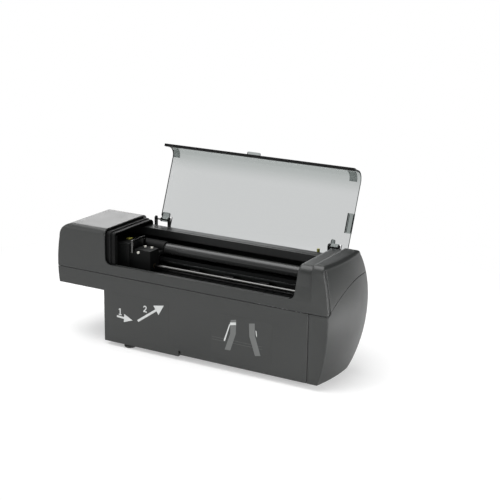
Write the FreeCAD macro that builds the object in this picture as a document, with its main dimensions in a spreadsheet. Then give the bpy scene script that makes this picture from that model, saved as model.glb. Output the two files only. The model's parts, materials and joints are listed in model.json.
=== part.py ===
import FreeCAD, Part
import math
import os
import re

import Sketcher
from FreeCAD import Placement, Rotation, Vector

# A wide desktop card printer with its see-through lid open. X runs along the front from left to right,
# Y runs from the front to the back, Z runs up. The pieces are drawn with X = 0 at the left end, Y = 0 at the
# front face and Z = 0 at the underside of the right half, and are moved to the part's origin at the end.
# The lid's pieces are drawn closed and turned open about the hinge axis.

SIZES = {
    # casing outline
    "case_length": 677.8, "case_height": 260, "case_wall": 3, "bottom_depth": 127, "top_depth": 153,
    "crown_depth": 169, "crown_drop": 11, "crown_radius": 14, "belly_radius": 178, "front_edge_radius": 14,
    "base_left": 130, "overhang_foot": 3, "overhang_drop": 143.5, "left_shoulder": 6,
    "left_corner_width": 32, "left_corner_drop": 34, "left_corner_radius": 34, "left_bow_radius": 336,
    "end_bow": 17.3, "end_swell": 11.4, "end_top_out": 6.5, "swell_depth": 196,
    "end_edge_radius": 8, "ridge_groove_at": 5, "ridge_groove_width": 4,
    "ridge_groove_depth": 1.6, "skirt_drop": 4.5, "skirt_right": 332, "skirt_notch_width": 6,
    "skirt_notch_height": 9,
    # seams between the casing pieces
    "seam_drop": 105.5, "seam_gap": 1.3, "seam_crest_depth": 140, "seam_crest_rise": 53.5,
    "seam_crest_radius": 212, "seam_back_fall": 10, "cap_line": 654,
    "back_cover_left": 150, "back_cover_right": 640, "back_cover_low": 30, "back_cover_gap": 0.7,
    # opening under the lid
    "opening_left": 134, "opening_right": 619, "opening_lean": 9, "opening_corner": 15, "rim_drop": 81,
    "rim_depth": 12, "rim_thickness": 3.2,
    "trough_front": 157, "trough_drop": 28, "trough_wall_drop": 18.5,
    # lid, drawn closed
    "lid_left": 170, "lid_right": 657, "lid_thickness": 4, "hinge_depth": 170, "hinge_drop": 7,
    "lid_rise": 8, "lid_reach": 173, "lid_bend": 23, "lid_lip": 46, "lid_tail": 15,
    "lid_open_angle": 110.8, "lid_clearance": 0.6, "lid_side_gap": 1.6,
    "trim_lip": 1, "trim_height": 8, "trim_foot": 2.5, "clip_width": 18, "clip_left_inset": 2,
    "clip_right_inset": 8,
    "notch_near": 36, "notch_length": 44, "notch_depth": 15, "side_clip_lip": 2.5,
    "tab_left": 391, "tab_width": 33, "tab_reach": 6, "tab_thickness": 3,
    # lid hinges
    "arm_left": 175, "arm_right": 616, "knuckle_width": 20, "arm_side": 9, "arm_thickness": 4,
    "arm_reach": 18, "arm_back": 9, "knuckle_radius": 5, "pin_radius": 2, "ear_thickness": 3,
    "ear_gap": 0.4, "left_ear_gap": 13, "ear_crown": 2, "hinge_notch_gap": 1,
    "running_gap": 0.05, "foot_plate": 2.5, "pin_end": 1,
    # frame
    "floor_thickness": 1.6, "floor_left": 140, "floor_right": 648, "floor_front": 10, "floor_back": 122,
    "plate_thickness": 2, "left_plate_at": 14, "right_plate_at": 640, "plate_back": 150,
    "plate_knee": 70, "bulkhead_at": 150, "bulkhead_seat": 96, "liner_gap": 7, "liner_play": 1,
    # rails
    "rod_radius": 4, "rod_depth": 57, "rod_rise": 20, "tube_radius": 12.5, "tube_bore": 10,
    "tube_depth": 107, "tube_rise": 29, "rail_overrun": 3,
    "strip_depth": 78, "strip_thickness": 0.4, "strip_gap": 3, "strip_tall": 8,
    "deck_front": 126, "deck_back": 153.5, "deck_step": 0.5, "deck_wall": 3, "deck_groove_at": 7,
    "deck_groove": 2, "deck_leg": 18, "peg_at": 592, "peg_depth": 163, "peg_radius": 3.5, "peg_height": 15,
    # carriage drive
    "pulley_radius": 8, "belt_gap": 0.3, "belt_thickness": 1.5, "belt_front": 84, "belt_width": 6,
    "drive_rise": 1, "drive_pulley_at": 36, "idler_pulley_at": 612, "flange_height": 3.2,
    "flange_thickness": 1, "shaft_radius": 2.5, "motor_radius": 14, "motor_length": 38,
    "motor_bore_depth": 10, "motor_bore_room": 0.5, "bracket_gap": 1, "bracket_reach": 20,
    # carriage
    "carriage_left": 122, "carriage_width": 110, "carriage_front": 38, "carriage_back": 74,
    "carriage_drop": 9, "arm_drop": 9, "deck_over_arm": 7, "shoe_wall": 3, "shoe_gap": 0.4,
    "tower_width": 42, "tower_height": 10, "bush_wall": 2, "bush_length": 14,
    "cover_inset": 2, "cover_width": 52, "cover_rise": 22, "cover_wall": 1.6, "cover_edge": 4,
    "cover_apron": 2, "cartridge_count": 3, "cartridge_width": 15, "cartridge_sunk": 17,
    "cartridge_room": 9, "cartridge_spacing": 16, "cartridge_gap": 0.4, "cartridge_rim": 3,
    "head_left": 20, "head_width": 70, "head_drop": 8, "head_front": 44, "head_depth": 28, "head_edge": 2.5,
    "clamp_at": 50, "clamp_width": 16, "clamp_wall": 2.4, "clamp_gap": 0.3, "clamp_rise": 7,
    "bar_at": 58, "bar_width": 5, "bar_thickness": 3.5, "bar_rise": 7.5, "bar_back": 91, "bar_bend": 2.7,
    "boss_radius": 3, "boss_length": 3, "boss_at": 79, "boss_spacing": 18, "boss_rise": 4,
    "tap_width": 10, "tap_at": 28, "tap_depth": 12, "tap_height": 2.5,
    # card path
    "card_drop": 103, "platen_thickness": 5, "platen_front": 20, "platen_back": 176, "platen_slot": 22,
    "platen_land": 6, "rib_height": 1, "rib_width": 2, "rib_spacing": 20, "rib_count": 23, "rib_inset": 8,
    "roller_radius": 10, "roller_depth": 104, "roller_proud": 0.5, "roller_shaft": 3, "roller_end": 10,
    "nip_gap": 0.3, "pinch_radius": 6, "pinch_shaft": 2, "pinch_width": 24, "pinch_spacing": 90,
    "pinch_left": 210, "pinch_count": 5, "beam_web": 3, "beam_front": 98, "beam_back": 117,
    "beam_rise": 5, "beam_tall": 16,
    "gear_module": 1, "gear_teeth": 40, "pinion_teeth": 15, "gear_width": 6, "gear_offset": 1.5,
    "mesh_gap": 0.15, "feed_motor_radius": 15, "feed_motor_length": 36,
    # card slot, vents and connector well in the back cover
    "slot_left": 180, "slot_right": 610, "slot_rise": 1.5, "slot_tall": 10,
    "vent_left": 430, "vent_low": 50, "vent_tall": 40, "vent_width": 4, "vent_spacing": 12, "vent_count": 15,
    "well_left": 180, "well_width": 150, "well_low": 54, "well_tall": 36, "well_wall": 2, "well_floor": 168,
    "panel_thickness": 1.5, "panel_edge": 3, "socket_rise": 8, "inlet_left": 192, "inlet_width": 28,
    "inlet_tall": 20, "inlet_wall": 3, "socket_depth": 20, "socket_rim": 2, "blade_length": 12,
    "blade_width": 2, "blade_tall": 5, "blade_step": 6,
    "switch_left": 238, "switch_width": 16, "switch_wall": 2, "switch_tilt_angle": 8, "rocker_depth": 8,
    "rocker_gap": 0.6, "port_left": 276, "port_width": 16, "port_tall": 14, "port_spacing": 26,
    "port_count": 2, "port_wall": 1.5, "fit_gap": 0.3,
    # boxes inside the lower case
    "supply_left": 190, "supply_length": 150, "supply_front": 20, "supply_depth": 62, "supply_height": 44,
    "board_left": 380, "board_length": 200, "board_front": 16, "board_depth": 92, "board_rise": 12,
    "board_thickness": 1.6, "chip_left": 36, "chip_size": 18, "chip_spacing": 54, "chip_count": 3,
    "chip_height": 3, "post_radius": 3, "post_inset": 8,
    "cap_left": 66, "cap_right": 149, "cap_front": 40, "cap_depth": 36, "cap_width": 70, "cap_clear": 1.6,
    "cap_wall": 3, "cap_well": 8, "cap_base": 4, "wiper_at": 144, "wiper_thickness": 2, "wiper_clear": 0.6,
    # bezel of the bay
    "bezel_inset": 6, "bezel_step": 1.5, "bezel_wall": 2.5, "bezel_left": 127, "bezel_mount": 3,
    "bezel_bead_at": 143, "bezel_bead_width": 4, "bezel_right": 157.5, "bezel_rib": 8, "bezel_back": 150,
    "bezel_foot": 1, "bezel_leg_gap": 4,
    # feet and screws
    "foot_drop": 14, "foot_radius": 14, "foot_waist": 12, "foot_left": 190, "foot_right": 600,
    "foot_front_left": 17, "foot_front_right": 58, "foot_back": 112, "foot_edge": 2, "foot_band": 5,
    "screw_radius": 2, "screw_head": 3.6, "screw_head_height": 1.6, "screw_grip": 4, "screw_inset": 18,
    # how far cutting tools run past the faces that they cut
    "overrun": 20,
}

# Heights that hang from the casing's top or ride on one another, worked out in the sheet
HEIGHTS = {
    "overhang_height": "case_height - overhang_drop",
    "seam_height": "case_height - seam_drop",
    "seam_crest_height": "seam_height + seam_crest_rise",
    "seam_back_height": "seam_crest_height - seam_back_fall",
    "rim_height": "case_height - rim_drop",
    "trough_floor": "case_height - trough_drop",
    "back_cover_high": "trough_floor - 2 * case_wall",
    "trough_wall_top": "case_height - trough_wall_drop",
    "hinge_height": "case_height - hinge_drop",
    "deck_top": "trough_wall_top + deck_step",
    "plate_top": "deck_top - 2 * plate_thickness",
    "platen_top": "case_height - card_drop",
    "slot_low": "platen_top + slot_rise",
    "beam_low": "platen_top + beam_rise",
    "beam_top": "beam_low + beam_tall",
    "rod_height": "platen_top + rod_rise",
    "tube_height": "rod_height + tube_rise",
    "drive_height": "rod_height + drive_rise",
    "carriage_low": "rod_height - carriage_drop",
    "arm_low": "tube_height - arm_drop",
    "carriage_deck": "arm_low + deck_over_arm",
    "strip_low": "arm_low - strip_gap - strip_tall",
    "cover_top": "carriage_deck + cover_rise",
    "cartridge_low": "carriage_deck - cartridge_sunk",
    "cartridge_top": "cover_top - cartridge_room",
    "clamp_low": "drive_height + clamp_rise",
    "bar_top": "cover_top + bar_rise",
    "boss_height": "carriage_deck + boss_rise",
    "socket_low": "well_low + socket_rise",
}

doc = FreeCAD.newDocument("card_printer")
sheet = doc.addObject("Spreadsheet::Sheet", "sizes")
for row, (size_name, size_value) in enumerate(SIZES.items(), start=1):
    sheet.set(f"A{row}", size_name)
    sheet.set(f"B{row}", str(size_value))
    sheet.setAlias(f"B{row}", size_name)
for row, (size_name, formula) in enumerate(HEIGHTS.items(), start=len(SIZES) + 1):
    sheet.set(f"A{row}", size_name)
    sheet.set(f"B{row}", f"={formula}")
    sheet.setAlias(f"B{row}", size_name)
doc.recompute()

PARTS = {}
LID_PARTS = []


def bound(text):
    """The expression with every size name pointed at its cell in the sheet."""
    def point(word):
        return f"sizes.{word[0]}" if word[0] in SIZES or word[0] in HEIGHTS else word[0]

    return re.sub(r"[a-z][a-z_]*", point, str(text))


def number(text):
    """The present value of an expression of sizes."""
    value = sheet.evalExpression(bound(text))
    return float(getattr(value, "Value", value))


def keep(node, piece, on_lid=False):
    """Names a finished sub-part; its label is also its file's name."""
    piece.Label = node
    PARTS[node] = piece
    if on_lid:
        LID_PARTS.append(node)
    return piece


def new_body(name):
    return doc.addObject("PartDesign::Body", name)


def new_sketch(body, plane, origin):
    """A sketch on one of the body's own planes, with its origin moved to a point given in X, Y, Z."""
    sketch = body.newObject("Sketcher::SketchObject", f"{body.Name}_outline")
    support = [feature for feature in body.Origin.OriginFeatures if feature.Role == f"{plane}_Plane"]
    sketch.AttachmentSupport = (support[0], [""])
    sketch.MapMode = "FlatFace"
    along_x, along_y, along_z = origin
    local = {
        "XY": (along_x, along_y, along_z),
        "XZ": (along_x, along_z, f"-({along_y})"),
        "YZ": (along_y, along_z, along_x),
    }[plane]
    for axis, shift in zip("xyz", local):
        sketch.setExpression(f"AttachmentOffset.Base.{axis}", bound(shift))
    return sketch


def add_circle(sketch, centre_x, centre_y, radius):
    centre = Vector(number(centre_x), number(centre_y), 0)
    edge = sketch.addGeometry(Part.Circle(centre, Vector(0, 0, 1), number(radius)), False)
    for kind, size in (("DistanceX", centre_x), ("DistanceY", centre_y)):
        index = sketch.addConstraint(Sketcher.Constraint(kind, edge, 3, number(size)))
        sketch.setExpression(f"Constraints[{index}]", bound(size))
    index = sketch.addConstraint(Sketcher.Constraint("Radius", edge, number(radius)))
    sketch.setExpression(f"Constraints[{index}]", bound(radius))


def arc_edge(start, end, radius, turn):
    """The shorter arc between two points, and which of its ends is the start."""
    chord = end - start
    half = chord.Length / 2
    rise = math.sqrt(max(radius * radius - half * half, 0))
    side = Vector(-chord.y, chord.x, 0).normalize()
    centre = (start + end) / 2 + side * (rise if turn == "left" else -rise)
    first, last = (start, end) if turn == "left" else (end, start)
    angles = [math.atan2(point.y - centre.y, point.x - centre.x) for point in (first, last)]
    circle = Part.Circle(centre, Vector(0, 0, 1), radius)
    ends = (1, 2) if turn == "left" else (2, 1)
    return Part.ArcOfCircle(circle, angles[0], angles[1]), ends


def add_loop(sketch, loop):
    """A closed loop. Each corner gives the edge that leads to it: a line, or an arc's radius and turn."""
    points = [Vector(number(corner[0]), number(corner[1]), 0) for corner in loop]
    edges = []
    for place, corner in enumerate(loop):
        start, end = points[place - 1], points[place]
        if len(corner) == 2:
            geometry, ends = Part.LineSegment(start, end), (1, 2)
        else:
            geometry, ends = arc_edge(start, end, number(corner[2]), corner[3])
        edges.append((sketch.addGeometry(geometry, False), ends))
    for place, corner in enumerate(loop):
        edge, ends = edges[place]
        following, following_ends = edges[(place + 1) % len(edges)]
        sketch.addConstraint(Sketcher.Constraint("Coincident", edge, ends[1], following, following_ends[0]))
        for kind, size in (("DistanceX", corner[0]), ("DistanceY", corner[1])):
            index = sketch.addConstraint(Sketcher.Constraint(kind, edge, ends[1], number(size)))
            sketch.setExpression(f"Constraints[{index}]", bound(size))
        if len(corner) > 2:
            index = sketch.addConstraint(Sketcher.Constraint("Radius", edge, number(corner[2])))
            sketch.setExpression(f"Constraints[{index}]", bound(corner[2]))


def draw(body, plane, origin, loops):
    sketch = new_sketch(body, plane, origin)
    for loop in loops:
        if loop[0] == "circle":
            add_circle(sketch, *loop[1:])
        else:
            add_loop(sketch, loop)
    return sketch


def pad(body, plane, origin, loops, length):
    """Extrudes the loops along the positive axis that the plane faces."""
    feature = body.newObject("PartDesign::Pad", f"{body.Name}_pad")
    feature.Profile = draw(body, plane, origin, loops)
    feature.setExpression("Length", bound(length))
    feature.Reversed = plane == "XZ"
    body.Tip = feature
    return feature


def pocket(body, plane, origin, loops, length):
    """Cuts the loops out along the positive axis that the plane faces."""
    doc.recompute()
    before = body.Shape.Volume
    feature = body.newObject("PartDesign::Pocket", f"{body.Name}_pocket")
    feature.Profile = draw(body, plane, origin, loops)
    feature.setExpression("Length", bound(length))
    feature.Reversed = plane != "XZ"
    body.Tip = feature
    doc.recompute()
    if not body.Shape.Volume < before:
        raise ValueError(f"{feature.Label} cuts nothing")
    return feature


def spin(body, plane, origin, loops, axis):
    """Turns the loops a full circle about the sketch's own axis."""
    feature = body.newObject("PartDesign::Revolution", f"{body.Name}_turn")
    sketch = draw(body, plane, origin, loops)
    feature.Profile = sketch
    feature.ReferenceAxis = (sketch, [axis])
    feature.Angle = 360
    body.Tip = feature
    return feature


def soften(body, radius, wanted):
    """Rounds the edges that the test picks."""
    doc.recompute()
    base = body.Tip
    names = [f"Edge{place}" for place, edge in enumerate(base.Shape.Edges, start=1) if wanted(edge)]
    if not names:
        raise ValueError(f"{body.Name} has no such edge to round")
    feature = body.newObject("PartDesign::Fillet", f"{body.Name}_round")
    feature.Base = (base, names)
    feature.setExpression("Radius", bound(radius))
    body.Tip = feature
    return feature


def repeat(body, feature, axis, pitch, count):
    """Repeats a feature in a row along one of the body's axes."""
    row_pattern = body.newObject("PartDesign::LinearPattern", f"{body.Name}_row")
    row_pattern.Originals = [feature]
    line = [part for part in body.Origin.OriginFeatures if part.Role == f"{axis}_Axis"]
    row_pattern.Direction = (line[0], [""])
    row_pattern.Mode = "Spacing"
    row_pattern.setExpression("Offset", bound(pitch))
    row_pattern.setExpression("Occurrences", bound(count))
    body.Tip = row_pattern
    return row_pattern


def box_loop(x_low, y_low, x_high, y_high):
    return [(x_low, y_low), (x_high, y_low), (x_high, y_high), (x_low, y_high)]


def block(name, low, high):
    """A body padded from a rectangle; its corners are given as X, Y, Z."""
    body = new_body(name)
    loop = box_loop(low[0], low[1], high[0], high[1])
    pad(body, "XY", ("0", "0", low[2]), [loop], f"({high[2]}) - ({low[2]})")
    return body


def bar(name, axis, start, across, radius, length):
    """A round bar along X, Y or Z; across gives its other two places in X, Y, Z order."""
    body = new_body(name)
    plane = {"X": "YZ", "Y": "XZ", "Z": "XY"}[axis]
    origin = {"X": (start, "0", "0"), "Y": ("0", start, "0"), "Z": ("0", "0", start)}[axis]
    pad(body, plane, origin, [("circle", across[0], across[1], radius)], length)
    return body


def subtract(name, base, *tools):
    result = base
    for place, tool in enumerate(tools):
        cut = doc.addObject("Part::Cut", f"{name}_cut{place}")
        cut.Base = result
        cut.Tool = tool
        cut.Refine = True
        result = cut
    return result


def intersect(name, *shapes):
    common = doc.addObject("Part::MultiCommon", name)
    common.Shapes = list(shapes)
    return common


def group(name, pieces):
    """Like pieces that share one node as separate solids."""
    several = doc.addObject("Part::Compound", name)
    several.Links = list(pieces)
    return several


def is_upright(edge):
    return edge.BoundBox.ZLength > 0.9 * edge.Length


def is_along_x(edge):
    return edge.BoundBox.XLength > 0.9 * edge.Length


def join(name, *shapes):
    fusion = doc.addObject("Part::MultiFuse", name)
    fusion.Shapes = list(shapes)
    fusion.Refine = True
    return fusion


# Lengths worked out from the sizes
TROUGH_RIGHT = "(lid_right + lid_side_gap)"
SWELL_RADIUS = "((swell_depth^2 / 4 + end_swell^2) / (2 * end_swell))"
BOW_CHORD = "((case_height - end_edge_radius)^2 + end_top_out^2)"
BOW_RADIUS = f"(({BOW_CHORD} / 4 + end_bow^2) / (2 * end_bow))"
FAR_RIGHT = "(case_length + end_bow + end_swell + end_top_out + overrun)"
FAR_BACK = "(bottom_depth + belly_radius)"
LID_TOP = "(hinge_height + lid_rise)"
LID_FRONT = "(hinge_depth - lid_reach)"
LID_INSIDE = "(hinge_height + lid_rise - lid_thickness)"
LID_BACK = "(hinge_depth + lid_tail)"
LEFT_EAR = "(arm_left - left_ear_gap - ear_thickness)"
RIGHT_EAR = "(arm_right - ear_gap - ear_thickness)"
EARS_END = "(knuckle_width + ear_gap + ear_thickness)"
RECESS_FRONT = f"({LID_FRONT} + lid_thickness + trim_lip + lid_clearance)"
RECESS_FLOOR = f"({LID_INSIDE} - trim_lip - lid_clearance)"
RECESS_BEND = "(lid_bend - lid_thickness - trim_lip - lid_clearance)"
CHASSIS_TOP = "(case_wall + floor_thickness)"
OVERHANG_FLOOR = "(overhang_height + case_wall)"
ROLLER_HEIGHT = "(platen_top + roller_proud - roller_radius)"
PINCH_HEIGHT = "(platen_top + roller_proud + nip_gap + pinch_radius)"
MOTOR_HEIGHT = f"({ROLLER_HEIGHT} - gear_module * (gear_teeth + pinion_teeth) / 2 - mesh_gap)"
# a gear tooth's shares of the module: depth below and above the pitch circle, half widths at tip and root
ROOT_SHARE = 1.25
TIP_SHARE = 1
TIP_WIDTH_SHARE = 0.38
ROOT_WIDTH_SHARE = 1.2
# the rocker's root width and the dip of its face, as shares of its half height and depth
ROCKER_ROOT_SHARE = 0.5
ROCKER_DIP_SHARE = 0.14
# shares of the wall by which the inner form's belly ends move in, from the belly's slope at its two ends
FOOT_SHARE = 0.33
CROWN_BACK_SHARE = 0.81
CROWN_DOWN_SHARE = 0.59


def casing_form(name, inset):
    """The casing's form, drawn in by the inset: flat front, barrel back, bowed ends, left overhang."""
    body = new_body(name)
    foot = f"bottom_depth - ({inset}) * {FOOT_SHARE}"
    side = [
        (inset, f"{inset} - skirt_drop"),
        (foot, f"{inset} - skirt_drop"),
        (foot, inset),
        (f"crown_depth - ({inset}) * {CROWN_BACK_SHARE}",
         f"case_height - crown_drop - ({inset}) * {CROWN_DOWN_SHARE}", f"belly_radius - ({inset})", "left"),
        ("top_depth", f"case_height - ({inset})", f"crown_radius - ({inset})", "left"),
        ("front_edge_radius", f"case_height - ({inset})"),
        (inset, "case_height - front_edge_radius", f"front_edge_radius - ({inset})", "left"),
    ]
    pad(body, "YZ", ("-overrun", "0", "0"), [side], f"{FAR_RIGHT} + 2 * overrun")
    corner = "left_shoulder + left_corner_width"
    front = [
        (f"base_left + ({inset})", f"{inset} - skirt_drop"),
        (f"skirt_right - ({inset})", f"{inset} - skirt_drop"),
        (f"skirt_right - ({inset})", inset),
        (f"{FAR_RIGHT} + 2 * overrun", inset),
        (f"{FAR_RIGHT} + 2 * overrun", "case_height + overrun"),
        (corner, "case_height + overrun"),
        (corner, f"case_height - ({inset})"),
        (f"left_shoulder + ({inset})", "case_height - left_corner_drop",
         f"left_corner_radius - ({inset})", "left"),
        (f"overhang_foot + ({inset})", f"overhang_height + ({inset})", f"left_bow_radius - ({inset})", "left"),
        (f"base_left + ({inset})", f"overhang_height + ({inset})"),
    ]
    frame = box_loop("-3 * overrun", "-3 * overrun", f"{FAR_RIGHT} + 3 * overrun", "case_height + 3 * overrun")
    pocket(body, "XZ", ("0", "-overrun", "0"), [frame, front], FAR_BACK)
    rim = f"{SWELL_RADIUS} - ({inset})"
    top_rim = f"{rim} + end_top_out"
    beyond = f"{SWELL_RADIUS} + end_bow + end_top_out + 5 * overrun"
    outside = [
        (beyond, "-3 * overrun"),
        (beyond, "case_height + 3 * overrun"),
        (f"{top_rim} - end_edge_radius", "case_height + 3 * overrun"),
        (f"{top_rim} - end_edge_radius", f"case_height - ({inset})"),
        (top_rim, "case_height - end_edge_radius", "end_edge_radius", "right"),
        (rim, "0", f"{BOW_RADIUS} - ({inset})", "right"),
        (rim, "-3 * overrun"),
    ]
    groove = body.newObject("PartDesign::Groove", f"{name}_end")
    axis_at = f"case_length + end_swell - {SWELL_RADIUS}"
    sketch = draw(body, "XZ", (axis_at, "swell_depth / 2", "0"), [outside])
    groove.Profile = sketch
    groove.ReferenceAxis = (sketch, ["V_Axis"])
    groove.Angle = 120
    groove.Midplane = True
    body.Tip = groove
    doc.recompute()
    return body


def lid_recess(name, grow):
    """The space that the closed lid's right end needs, with a front that tapers out towards the seam."""
    body = new_body(name)
    loop = [
        ("-overrun", "rim_height"),
        (grow, "rim_height"),
        (f"{RECESS_FRONT} + ({grow})", f"{LID_TOP} - lid_lip - trim_foot - lid_clearance"),
        (f"{RECESS_FRONT} + ({grow})", f"{LID_TOP} - lid_bend"),
        (f"{LID_FRONT} + lid_bend", f"{RECESS_FLOOR} - ({grow})", f"{RECESS_BEND} - ({grow})", "right"),
        (f"trough_front + ({grow})", f"{RECESS_FLOOR} - ({grow})"),
        (f"trough_front + ({grow})", "case_height + overrun"),
        ("-overrun", "case_height + overrun"),
    ]
    start = "opening_right - overrun"
    pad(body, "YZ", (start, "0", "0"), [loop], f"lid_right + lid_side_gap + ({grow}) - ({start})")
    return body


def hinge_trough(name, grow):
    """The trough behind the deck in which the lid's hinges lie."""
    return block(name,
                 (f"opening_left - ({grow})", f"trough_front - ({grow})", f"trough_floor - ({grow})"),
                 (f"{TROUGH_RIGHT} + ({grow})", f"trough_front + {FAR_BACK}", "case_height + overrun"))


def lower_zone(name, lift):
    """Everything below the seam, which climbs in an S along the right end."""
    body = new_body(name)
    ridge = "case_length + end_bow / 2"
    loop = box_loop("-overrun", "-2 * overrun", ridge, f"seam_height + ({lift})")
    pad(body, "XZ", ("0", "-overrun", "0"), [loop], f"{FAR_BACK} + overrun")
    rise = [
        ("-overrun", "-2 * overrun"),
        (FAR_BACK, "-2 * overrun"),
        (FAR_BACK, f"seam_back_height + ({lift})"),
        ("seam_crest_depth", f"seam_crest_height + ({lift})"),
        ("0", f"seam_height + ({lift})", "seam_crest_radius", "left"),
        ("-overrun", f"seam_height + ({lift})"),
    ]
    pad(body, "YZ", (ridge, "0", "0"), [rise], "end_bow + end_swell + 2 * overrun")
    return body


def back_zone(name, grow):
    """The part of the casing that the back cover closes."""
    return block(name,
                 (f"back_cover_left - ({grow})", "bottom_depth + overrun / 4", f"back_cover_low - ({grow})"),
                 (f"back_cover_right + ({grow})", FAR_BACK, f"back_cover_high + ({grow})"))


def casing_shell():
    outer = subtract("outer", casing_form("outer_form", "0"),
                     lid_recess("outer_recess", "0"), hinge_trough("outer_trough", "0"))
    inner = subtract("inner", casing_form("inner_form", "case_wall"),
                     lid_recess("inner_recess", "case_wall"), hinge_trough("inner_trough", "case_wall"))
    return subtract("shell", outer, inner)


def ridge_groove():
    """The shallow groove behind the ridge where the upper cover's front meets its right end."""
    strip = block("groove_strip", ("cap_line", "ridge_groove_at", "-overrun"),
                  (f"{FAR_RIGHT} + overrun", "ridge_groove_at + ridge_groove_width",
                   "case_height - end_edge_radius"))
    return subtract("ridge_groove", strip, casing_form("groove_form", "ridge_groove_depth"))


def screw_places():
    """The underside screws' places in X and Y."""
    left, right = "skirt_right + screw_inset", "floor_right - screw_inset"
    middle = f"({left} + {right}) / 2"
    front, back = "floor_front + screw_inset", "floor_back - screw_inset / 2"
    return [(across, along) for across in (left, middle, right) for along in (front, back)]


def make_casing():
    shell = casing_shell()
    low, low_gap = lower_zone("below_seam", "0"), lower_zone("below_gap", "seam_gap")
    back, back_gap = back_zone("back_space", "0"), back_zone("back_gap", "back_cover_gap")
    cap = block("cap_space", ("cap_line + seam_gap / 2", "-overrun", "-2 * overrun"),
                (f"{FAR_RIGHT} + overrun", FAR_BACK, "case_height + overrun"))
    cap_gap = block("cap_gap", ("cap_line - seam_gap / 2", "-overrun", "-2 * overrun"),
                    (f"{FAR_RIGHT} + overrun", FAR_BACK, "case_height + overrun"))
    lower_shell = intersect("lower_shell", shell, low)
    holes = new_body("screw_holes")
    circles = [("circle", across, along, "screw_radius + fit_gap") for across, along in screw_places()]
    pad(holes, "XY", ("0", "0", "-2 * overrun"), circles, "3 * overrun")
    keep("right_end_cap", intersect("right_end_cap", lower_shell, cap))
    notch = block("skirt_notch", ("skirt_right", "-overrun", "-overrun"),
                  ("skirt_right + skirt_notch_width", "2 * case_wall", "skirt_notch_height"))
    keep("lower_case", subtract("lower_case", lower_shell, cap_gap, back_gap, holes, notch))
    keep("upper_cover", make_upper_cover(subtract("upper_shell", shell, low_gap, back_gap, ridge_groove())))
    keep("back_cover", make_back_cover(shell, back))


def make_upper_cover(upper_shell):
    opening = new_body("opening")
    mouth = [
        ("opening_left", "case_height + overrun"),
        ("opening_left", "rim_height + opening_corner"),
        ("opening_left + opening_corner", "rim_height", "opening_corner", "left"),
        ("opening_right - opening_corner", "rim_height"),
        ("opening_right", "rim_height + opening_corner", "opening_corner", "left"),
        ("opening_right + opening_lean", "case_height"),
        ("opening_right + opening_lean", "case_height + overrun"),
    ]
    pad(opening, "XZ", ("0", "-overrun", "0"), [mouth], "deck_back + fit_gap + overrun")
    over_wall = block("over_wall", ("opening_left", "deck_front", "trough_wall_top"),
                      ("opening_right + opening_lean", "trough_front + overrun / 4", "case_height + overrun"))
    flange = new_body("rim_flange")
    profile = [
        ("case_wall / 2", "rim_height - rim_thickness"),
        ("rim_depth", "rim_height - rim_thickness"),
        ("rim_depth", "rim_height - rim_thickness / 2"),
        ("rim_depth - rim_thickness / 2", "rim_height", "rim_thickness / 2", "left"),
        ("case_wall / 2", "rim_height"),
    ]
    start = "opening_left + opening_corner"
    pad(flange, "YZ", (start, "0", "0"), [profile], f"opening_right - opening_corner - ({start})")
    return join("upper_cover", subtract("upper_open", upper_shell, opening, over_wall), flange)


def make_back_cover(shell, back):
    reach = f"{FAR_BACK} + overrun"
    slot = block("card_slot", ("slot_left", "bottom_depth", "slot_low"),
                 ("slot_right", reach, "slot_low + slot_tall"))
    vents = new_body("vents")
    half = "vent_width / 2"
    vent = [
        ("vent_left", f"vent_low + {half}"),
        (f"vent_left + {half}", "vent_low", half, "left"),
        ("vent_left + vent_width", f"vent_low + {half}", half, "left"),
        ("vent_left + vent_width", f"vent_low + vent_tall - {half}"),
        (f"vent_left + {half}", "vent_low + vent_tall", half, "left"),
        ("vent_left", f"vent_low + vent_tall - {half}", half, "left"),
    ]
    first = pad(vents, "XZ", ("0", "bottom_depth", "0"), [vent], reach)
    doc.recompute()
    repeat(vents, first, "X", "vent_spacing", "vent_count")
    right, top = "well_left + well_width", "well_low + well_tall"
    well_box = block("well_box", ("well_left - well_wall", "well_floor", "well_low - well_wall"),
                     (f"{right} + well_wall", reach, f"{top} + well_wall"))
    well_room = block("well_room", ("well_left", "well_floor - overrun", "well_low"), (right, reach, top))
    well = intersect("well", well_box, doc.getObject("outer_form"))
    skin = intersect("back_skin", shell, back)
    return subtract("back_cover", join("back_with_well", skin, well), slot, vents, well_room)


def bezel_ring(name, start, length, inset, wall):
    """A band of the bezel that follows the casing's front, top and crown, open at the foot."""
    foot, leg_foot = "rim_height + bezel_foot", "trough_floor + bezel_leg_gap"
    inner = f"({inset}) + ({wall})"
    near_leg, far_leg = f"crown_depth - ({inner})", f"crown_depth - ({inset})"
    low_crown = f"case_height - crown_drop - ({inner}) * {CROWN_DOWN_SHARE}"
    high_crown = f"case_height - crown_drop - ({inset}) * {CROWN_DOWN_SHARE}"
    body = new_body(name)
    loop = [
        (inset, foot),
        (inner, foot),
        (inner, "case_height - front_edge_radius"),
        ("front_edge_radius", f"case_height - ({inner})", f"front_edge_radius - ({inner})", "right"),
        ("top_depth", f"case_height - ({inner})"),
        (near_leg, low_crown, "crown_radius", "right"),
        (near_leg, leg_foot),
        (far_leg, leg_foot),
        (far_leg, high_crown),
        ("top_depth", f"case_height - ({inset})", "crown_radius", "left"),
        ("front_edge_radius", f"case_height - ({inset})"),
        (inset, "case_height - front_edge_radius", f"front_edge_radius - ({inset})", "left"),
    ]
    pad(body, "YZ", (start, "0", "0"), [loop], length)
    return body


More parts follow.
